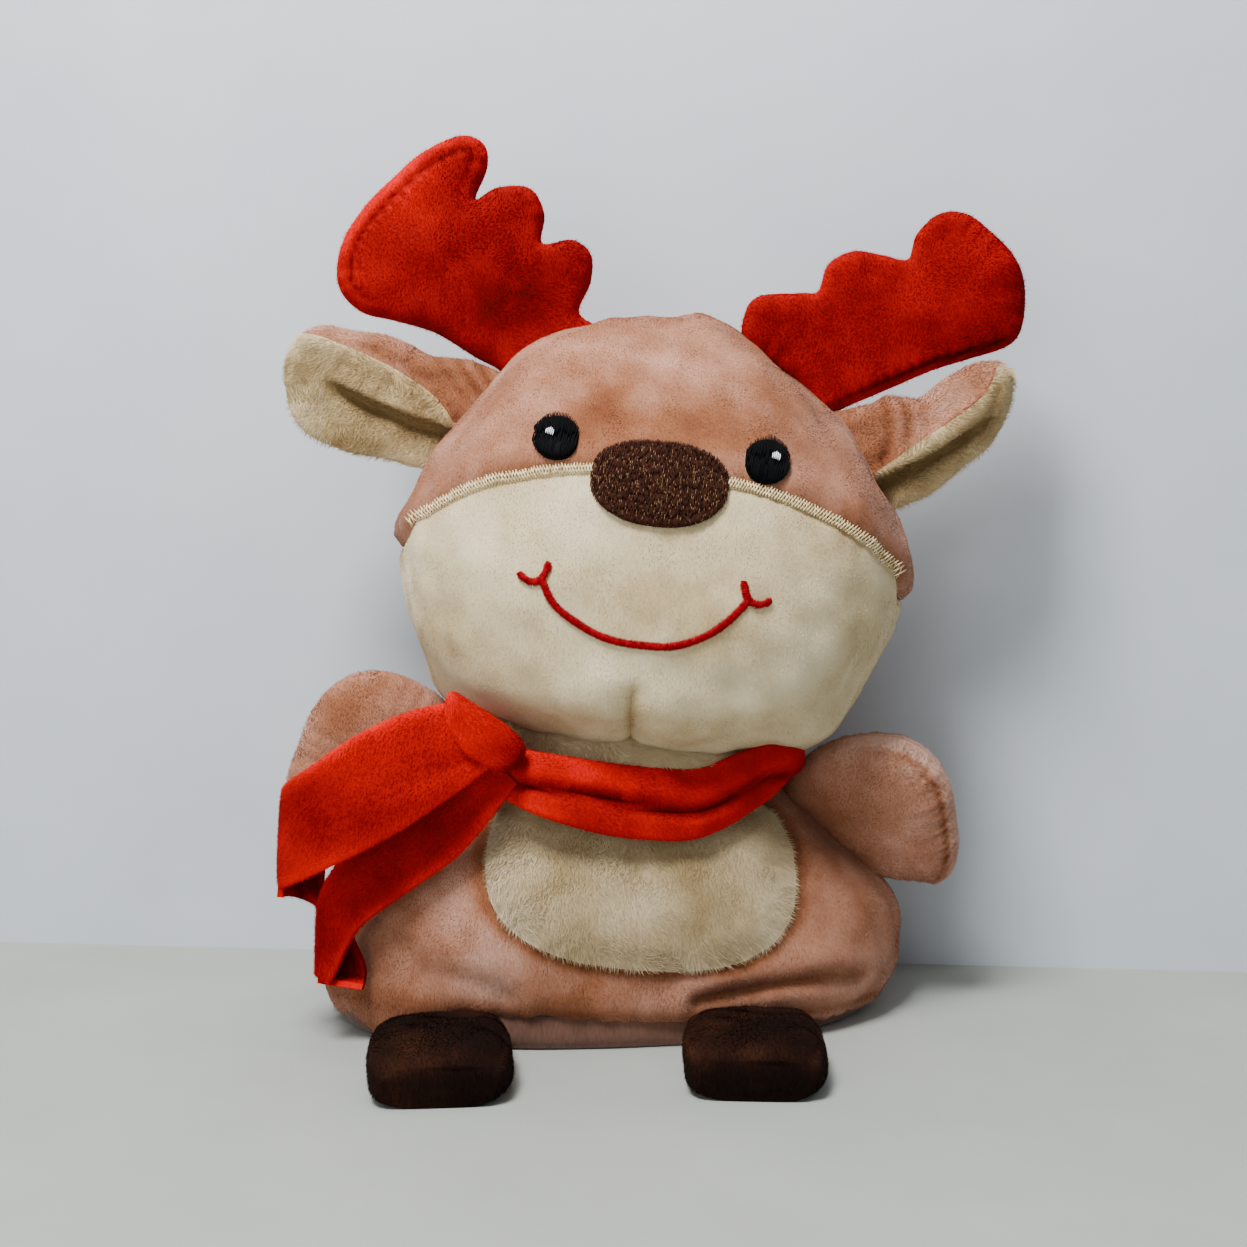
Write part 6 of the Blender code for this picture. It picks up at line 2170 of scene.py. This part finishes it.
@dataclass
class Scarf:
    """The band round the neck, the fold that crosses it and two tails. Sizes are millimetres and shares."""

    width: float = 17.8
    thickness: float = 5.6
    half_width: float = 42.1
    front: float = 39.5
    back: float = 33.0
    z: float = 74.2
    sag: float = 6.7
    side_share: float = 0.27
    tilt: float = math.radians(16.0)
    knot_bulge: float = 9.2
    knot_turn: float = math.radians(-132.0)
    upper_start: tuple[float, float, float] = (-50.0, -46.0, 82.5)
    lower_start: tuple[float, float, float] = (-42.2, -40.5, 59.2)
    upper_length: float = 62.0
    lower_length: float = 66.0
    tail_thickness: float = 2.8
    wrap_y: float = -46.6
    wrap_outline: tuple[tuple[float, float], ...] = (
        (-53.6, 92.4),
        (-55.2, 89.0),
        (-54.9, 84.9),
        (-52.6, 81.0),
        (-48.9, 77.0),
        (-43.7, 74.4),
        (-39.5, 72.6),
        (-34.8, 74.4),
        (-33.2, 79.2),
        (-36.8, 83.4),
        (-42.5, 86.9),
        (-48.6, 90.2),
    )
    upper: tuple[tuple[float, ...], ...] = (
        (-0.01, 0.02, 0.125, 0.15, 0.02, -0.13),
        (-0.22, -0.01, 0.06, -0.05, -0.03, -0.30),
        (-0.43, 0.0, -0.06, -0.25, -0.02, -0.46),
        (-0.61, 0.07, -0.22, -0.45, 0.03, -0.60),
        (-0.71, 0.22, -0.33, -0.67, 0.15, -0.75),
        (-0.69, 0.38, -0.38, -0.69, 0.31, -0.78),
    )
    lower: tuple[tuple[float, ...], ...] = (
        (0.0, -0.02, 0.26, 0.12, 0.0, 0.15),
        (-0.22, 0.03, 0.09, -0.06, 0.0, -0.13),
        (-0.40, 0.07, -0.06, -0.24, 0.02, -0.30),
        (-0.55, 0.14, -0.25, -0.37, 0.06, -0.42),
        (-0.62, 0.18, -0.44, -0.46, 0.10, -0.53),
        (-0.605, 0.19, -0.73, -0.54, 0.13, -0.75),
    )

    def band(self, steps: int = 220, ring: int = 44) -> Skin:
        """The band: a folded strip that is widest in front, with one long crease.

        Args:
            steps: Round the neck.
            ring: Round the strip's section.

        Returns:
            Its skin, leaning with the torso.
        """
        t = np.linspace(0.0, 2.0 * math.pi, steps, endpoint=False)[:, None]
        r = np.linspace(0.0, 2.0 * math.pi, ring, endpoint=False)[None, :]
        ahead = np.maximum(0.0, -np.sin(t)) ** 1.5
        depth = np.where(np.sin(t) < 0.0, self.front, self.back)
        out = np.concatenate([np.cos(t) / self.half_width, np.sin(t) / depth, 0.0 * t], axis=1)
        out = unit(out)[:, None, :]
        knot = np.maximum(0.0, np.cos(t - self.knot_turn)) ** 8
        x = self.half_width * powered(np.cos(t), 2.3)
        y = depth * powered(np.sin(t), 2.3)
        x = x + 3.0 * ease(18.0, 42.0, x)
        rise = (8.0 * ease(10.0, 42.0, x) + 1.6 * ease(0.0, 30.0, -x)) * ease(-0.1, 0.5, -np.sin(t)) - 0.8 * ahead
        middle = np.stack([x, y, self.z - self.sag * ahead + rise], axis=-1) + out * self.knot_bulge * knot[..., None]
        tilt = (self.tilt * ahead)[..., None]
        wide = np.where(x > 0.0, np.maximum(0.0, -np.sin(t)) ** 0.7, ahead)
        half = self.width / 2.0 * (self.side_share + (1.08 - self.side_share) * wide)[..., None]
        above = np.array([0.0, 0.0, 1.0])
        up = above * np.cos(tilt) - out * np.sin(tilt)
        thick = out * np.cos(tilt) + above * np.sin(tilt)
        high, deep = powered(np.sin(r), 2.6), powered(np.cos(r), 2.6)
        crease = -1.0 + 0.85 * ease(0.1, 0.8, ahead) + 0.12 * np.sin(6.0 * t)
        groove = hump(high, crease, 0.16) * ease(0.0, 0.4, deep) * ease(0.2, 0.5, ahead)
        upper = ease(0.0, 0.5, high - crease) * (1.0 - high**2) * ease(0.0, 0.5, deep)
        fat = 1.0 + 0.35 * upper - 0.75 * groove
        points = middle + up * half * high[..., None] + thick * (self.thickness / 2.0 * deep * fat)[..., None]
        points = points + thick * (0.35 * lumps(points * MM, 11.0 * MM, 151))[..., None] * ahead[..., None]
        skin = Skin.of(points * MM, points - middle, closed=True)
        # Painted light: the band is lighter along its edges and above its crease, and darker in the crease.
        skin.tone = 0.8 * hump(np.abs(high), 1.0, 0.25) - 1.4 * groove + 0.5 * upper
        skin.growth = 0.75 + 0.35 * ahead + 0.0 * high - 0.3 * groove
        across = np.stack([-np.sin(t), np.cos(t), -0.4 + 0.0 * t], axis=-1) + 0.0 * points
        return skin.brushed(across, 0.8, 155)

    def tail(self, shares: Sequence[Sequence[float]], length: float, start: Sequence[float], steps: int = 84) -> Skin:
        """A flat tail between two edges, in the leaning frame.

        Args:
            shares: The upper edge and the lower edge at even steps, in lengths.
            length: The tail's length.
            start: Where it leaves the knot.
            steps: Along the tail.

        Returns:
            Its skin.
        """
        rows = along_rows(shares, np.linspace(0.0, 1.0, steps)) * length
        high, low = rows[:, :3], rows[:, 3:]
        middle = (high + low) / 2.0
        along = unit(np.gradient(middle, axis=0))
        half = (high - low) / 2.0
        thick = unit(np.cross(half, along))
        r = np.linspace(0.0, 2.0 * math.pi, 48, endpoint=False)[None, :]
        across, deep = powered(np.sin(r), 3.6), powered(np.cos(r), 3.6)
        place = np.linspace(0.0, 1.0, steps)[:, None]
        wave = 0.5 * np.sin(place * 9.0 + 2.0 * across) * (1.0 - 0.6 * place)
        crease = -0.9 * hump(across, -0.55 + 0.9 * place, 0.2) * (1.0 - ease(0.1, 0.5, place))
        lift = self.tail_thickness / 2.0 * deep + (wave + crease) * ease(0.02, 0.12, place)
        points = middle[:, None] + half[:, None] * across[..., None] + thick[:, None] * lift[..., None]
        skin = Skin.of((points + np.array(start)) * MM, points - middle[:, None], closed=True)
        rim = hump(np.abs(across), 1.0, 0.22)
        # Painted highlight: each tail is lighter along its edges.
        skin.tone = 1.3 * rim - 0.35 + 0.0 * lift
        skin.growth = 0.9 + 0.5 * rim + 0.0 * lift
        return skin.brushed(along[:, None] + 0.0 * points, 0.7, 165)

    def wrap(self) -> list[Skin]:
        """The fold that crosses the band: a flat pad whose left edge is a curved crease over the upper tail.

        Returns:
            Its front and its back, in the leaning frame.
        """
        places = [(x * MM, 0.0, z * MM) for x, z in self.wrap_outline]
        pad = Pad(closed_curve(places, 120), 1.5, 5.0, 0.0, (2.0, 3.0), 1.0, 171, 0.9)
        skins = []
        for sense in (-1, 1):
            skin = pad.skin(sense)
            x, _, z = np.moveaxis(skin.points / MM, -1, 0)
            under = np.maximum(0.0, (x + 47.0) * 0.55 + (z - 81.0) * 0.45)
            skin.points[:, 1] += (self.wrap_y + 0.16 * under**1.5) * MM
            skin = Skin.of(skin.points, skin.out, faces=skin.faces)
            crease = hump(line_distance(np.column_stack([x, z]), self.wrap_outline[:6]), 0.0, 2.2)
            # Painted light: the fold is lighter along its curved crease and darker near its end nearest the middle of
            # the toy.
            skin.tone = -0.3 + 1.2 * crease - 0.7 * hump(x, -36.0, 4.0)
            skin.growth = 0.9 + 0.5 * crease
            skins.append(skin.brushed(np.array([0.5, 0.0, -1.0]), 0.8, 175).placed(LEANING))
        return skins

    def turned_back(self, grid: Array, dark: Array) -> Skin:
        """The end of a tail that curls behind it, seen from inside.

        Args:
            grid: Rows by columns of points, in the leaning frame.
            dark: How deep in shadow each point is.

        Returns:
            The skin whose face looks at the viewer.
        """
        rows, columns = grid.shape[:2]
        skin = Skin.of(grid.reshape(-1, 3) * MM, np.array([0.0, -1.0, 0.0]), faces=grid_faces(rows, columns))
        skin.tone = (0.9 - 2.6 * dark).reshape(-1)
        skin.growth = 1.0 + 0.0 * skin.tone
        return skin.brushed(np.array([0.0, 0.0, -1.0]), 0.6, 177).placed(LEANING)

    def upper_curl(self) -> Skin:
        """The upper tail's end: a flattened tube, open below."""
        up = np.linspace(0.0, 1.0, 30)[:, None]
        round_it = math.pi * np.linspace(0.0, 1.0, 30)[None, :]
        x = -88.2 - (4.6 - 0.4 * up) * np.cos(round_it)
        y = -25.5 + 5.0 * np.sin(round_it) + 0.0 * up
        z = 29.0 + 24.0 * up + 1.2 * np.cos(round_it)
        dark = 1.0 - np.abs(np.cos(round_it)) * (1.0 - ease(0.0, 0.2, up))
        return self.turned_back(np.stack([x, y, z], axis=-1), dark)

    def lower_curl(self) -> Skin:
        """The lower tail's end: it turns up behind itself like a hook."""
        across = np.linspace(0.0, 1.0, 26)[None, :]
        turn = np.linspace(0.2, 1.0, 34)[:, None]
        bend = math.pi * np.minimum(turn / 0.6, 1.0)
        x = -81.4 + (12.2 - 5.0 * ease(0.6, 1.0, turn)) * across
        y = -28.6 - 3.4 * across - 1.5 * np.cos(bend)
        z = 10.2 + 1.8 * (1.0 - np.sin(bend)) + 30.0 * np.maximum(0.0, turn - 0.6) + 0.0 * across
        ribs = 0.25 * np.sin(across * 34.0) * np.sin(bend / 2.0)
        grid = np.stack([x, y + ribs, z], axis=-1)
        return self.turned_back(grid, 1.0 * ease(0.3, 0.55, turn) * (1.0 - 0.35 * ease(0.85, 1.0, across)))

    def build(self, shop: Workshop) -> None:
        """Builds the band, the fold and the tails.

        Args:
            shop: The workshop.
        """
        ground = shop.backing(RED)
        band = self.band().placed(LEANING)
        cloth = tube_mesh("scarf_band_cloth", band, ground, ring=True)
        nap = shop.fur("scarf_band_nap", band, RED, 3.2, 0.7)
        dress([cloth, nap], "torso", ["scarf_band"])
        front, back = self.wrap()
        cloth = cloth_mesh("scarf_wrap_cloth", front, ground)
        rest = [cloth_mesh("scarf_wrap_back", back, ground)]
        for word, skin in (("", front), ("back_", back)):
            rest.append(shop.fur(f"scarf_wrap_{word}nap", skin, RED, 6.0, 0.8))
        dress([cloth, *rest], "torso", ["scarf_wrap"])
        tails = {
            "upper": (self.upper, self.upper_length, self.upper_start, (0.022, 0.062), self.upper_curl()),
            "lower": (self.lower, self.lower_length, self.lower_start, (0.016, 0.060), self.lower_curl()),
        }
        for word, (shares, length, start, flat, curl) in tails.items():
            skin = self.tail(shares, length, start).placed(LEANING)
            name = f"scarf_tail_{word}"
            cloth = tube_mesh(f"{name}_cloth", skin, ground)
            nap = shop.fur(f"{name}_nap", skin, RED, 4.4, 0.7)
            end = cloth_mesh(f"{name}_end", curl, ground, 1.6 * MM)
            pile = shop.fur(f"{name}_end_nap", curl, RED, 6.0, 0.8)
            dress([cloth, nap, end, pile], name, [name])


# Studio


@dataclass
class Studio:
    """The pale floor and wall, soft light and the camera. Sizes are metres and turns are degrees."""

    wall_y: float = 0.050
    wall_turn: float = -11.0
    reach: float = 2.2
    sky: str = "#e6ebf4"
    sky_strength: float = 0.25
    focal_mm: float = 50.67
    sensor_mm: float = 36.0
    camera_place: tuple[float, float, float] = (-0.0466, -0.4948, 0.154)
    camera_tilt: float = 85.0
    camera_pan: float = -6.0

    def backdrop(self, shop: Workshop) -> None:
        """A floor slab and a wall slab close behind the toy.

        Args:
            shop: The workshop.
        """
        slabs = {
            "floor": ((-self.reach, -self.reach, -0.02), (self.reach, 0.6, 0.0), FLOOR_PAINT, 0.0),
            "wall": ((-self.reach, 0.0, -0.01), (self.reach, 0.02, 1.6), WALL_PAINT, self.wall_turn),
        }
        for name, (low, high, paint, turn) in slabs.items():
            corners = [[x, y, z] for x in (low[0], high[0]) for y in (low[1], high[1]) for z in (low[2], high[2])]
            faces = [(0, 1, 3, 2), (4, 6, 7, 5), (0, 4, 5, 1), (2, 3, 7, 6), (0, 2, 6, 4), (1, 5, 7, 3)]
            place = Placement(turn_about("Z", turn), np.array([0.0, self.wall_y if turn else 0.0, 0.0]))
            solid_mesh(name, place.points(np.array(corners)), faces, shop.plain(paint))

    def area(self, name: str, place: Sequence[float], aim: Sequence[float], size: float, power: float) -> None:
        """A square soft light that looks at a point.

        Args:
            name: The light's name.
            place: Where it is.
            aim: What it looks at.
            size: Its side.
            power: Its power, in watts.
        """
        lamp = bpy.data.lights.new(name, "AREA")
        lamp.size = size
        lamp.energy = power
        holder = bpy.data.objects.new(name, lamp)
        bpy.context.scene.collection.objects.link(holder)
        away = np.array(place) - np.array(aim)
        holder.location = place
        holder.rotation_euler = Matrix(frame_of(away).tolist()).to_euler()

    def build(self, shop: Workshop) -> None:
        """Sets up backdrop, lights, world and camera.

        Args:
            shop: The workshop.
        """
        self.backdrop(shop)
        self.area("key", (-0.24, -0.38, 0.80), (0.02, 0.0, 0.12), 0.24, 12.0)
        self.area("fill", (-0.65, -1.0, 0.4), (0.0, 0.0, 0.1), 0.8, 4.0)
        self.area("wall_wash", (0.0, -0.14, 0.72), (0.02, 0.05, 0.40), 0.16, 0.9)
        world = bpy.data.worlds.new("studio")
        world.use_nodes = True
        world.node_tree.nodes["Background"].inputs["Color"].default_value = linear(self.sky)
        world.node_tree.nodes["Background"].inputs["Strength"].default_value = self.sky_strength
        bpy.context.scene.world = world
        lens = bpy.data.cameras.new("camera")
        lens.lens = self.focal_mm
        lens.sensor_width = self.sensor_mm
        camera = bpy.data.objects.new("camera", lens)
        camera.location = self.camera_place
        camera.rotation_euler = (math.radians(self.camera_tilt), 0.0, math.radians(self.camera_pan))
        bpy.context.scene.collection.objects.link(camera)
        bpy.context.scene.camera = camera


def frame_of(away: Array) -> Array:
    """A rotation whose Z axis points away along a direction and whose X axis is level."""
    z = unit(away)
    x = unit(np.cross(np.array([0.0, 0.0, 1.0]), z))
    return np.column_stack([x, np.cross(z, x), z])


LEFT_ANTLER = (
    (-0.30, 0.09), (-0.31, 0.20), (-0.17, 0.32), (-0.115, 0.37), (-0.15, 0.48), (-0.10, 0.585), (0.01, 0.645),
    (0.11, 0.695), (0.075, 0.80), (0.10, 0.92), (0.19, 0.985), (0.31, 0.99), (0.46, 0.97), (0.58, 0.90),
    (0.68, 0.76), (0.68, 0.66), (0.58, 0.52), (0.49, 0.40), (0.40, 0.25), (0.31, 0.10),
)
RIGHT_ANTLER = (
    (-0.15, 0.12), (-0.26, 0.21), (-0.32, 0.31), (-0.28, 0.40), (-0.16, 0.45), (-0.23, 0.55), (-0.23, 0.67),
    (-0.11, 0.74), (0.0, 0.745), (-0.11, 0.83), (-0.15, 0.92), (-0.08, 1.0), (0.10, 1.02), (0.27, 0.99),
    (0.43, 0.95), (0.58, 0.88), (0.68, 0.78), (0.71, 0.68), (0.67, 0.57), (0.57, 0.48), (0.44, 0.35),
    (0.34, 0.18), (0.285, 0.10),
)
LEFT_EAR = {
    "outline": (
        (62.3, 78.1), (65.1, 75.6), (69.3, 77.7), (75.8, 81.7), (83.7, 90.1), (89.4, 95.7), (93.3, 105.5),
        (93.8, 112.7),
        (93.1, 116.2), (89.7, 118.9), (86.4, 119.1), (81.6, 117.6), (74.1, 112.4), (68.9, 107.1), (64.5, 106.7),
        (59.5, 106.7), (55.6, 104.1), (49.7, 102.1),
    ),
    "sewn": ((42.0, 98.0), (46.0, 88.0), (54.0, 79.0)),
    "edge": (
        (54.0, 82.0), (57.1, 84.2), (65.0, 90.9), (73.8, 98.5), (80.1, 103.9), (84.1, 107.9), (86.7, 112.0),
        (88.4, 118.4),
    ),
    "crevice": ((57.0, 81.8), (60.0, 83.4), (69.4, 88.8), (78.4, 95.1), (88.3, 103.3)),
}
RIGHT_EAR = {
    "outline": (
        (-68.4, 73.4), (-77.9, 74.9), (-88.2, 75.6), (-99.9, 79.1), (-105.5, 84.5), (-107.9, 92.1), (-108.1, 100.1),
        (-104.7, 106.7), (-98.5, 110.1), (-90.5, 109.5), (-81.2, 109.3), (-73.9, 107.3), (-67.8, 104.8), (-61.3, 104.7),
        (-55.0, 104.2),
    ),
    "sewn": ((-46.0, 100.0), (-47.0, 88.0), (-56.0, 76.0)),
    "edge": (
        (-104.9, 107.4), (-98.2, 106.6), (-90.1, 104.4), (-80.4, 101.2), (-73.1, 98.0), (-65.6, 93.8),
        (-60.6, 89.1), (-56.7, 83.0),
    ),
    "crevice": ((-55.0, 82.6), (-59.0, 84.2), (-70.8, 86.6), (-82.4, 89.9), (-93.9, 94.1)),
}


def main() -> None:
    """Builds the deer and its studio."""
    logging.basicConfig(level=logging.INFO, format="%(name)s: %(message)s")
    shop = Workshop()
    head = Head()
    Studio().build(shop)
    Base().build(shop)
    Torso().build(shop)
    head.build(shop)
    Face(head).build(shop)
    Arm(Side.LEFT, 30.0).build(shop)
    Arm(Side.RIGHT, 4.0).build(shop)
    Antler(Side.LEFT, 31.3, LEFT_ANTLER).build(shop)
    Antler(Side.RIGHT, 35.5, RIGHT_ANTLER).build(shop)
    Ear(Side.LEFT, **LEFT_EAR).build(shop)
    Ear(Side.RIGHT, **RIGHT_EAR).build(shop)
    Foot(Side.LEFT, -9.0).build(shop)
    Foot(Side.RIGHT, -1.0).build(shop)
    Scarf().build(shop)


if __name__ == "__main__":
    main()
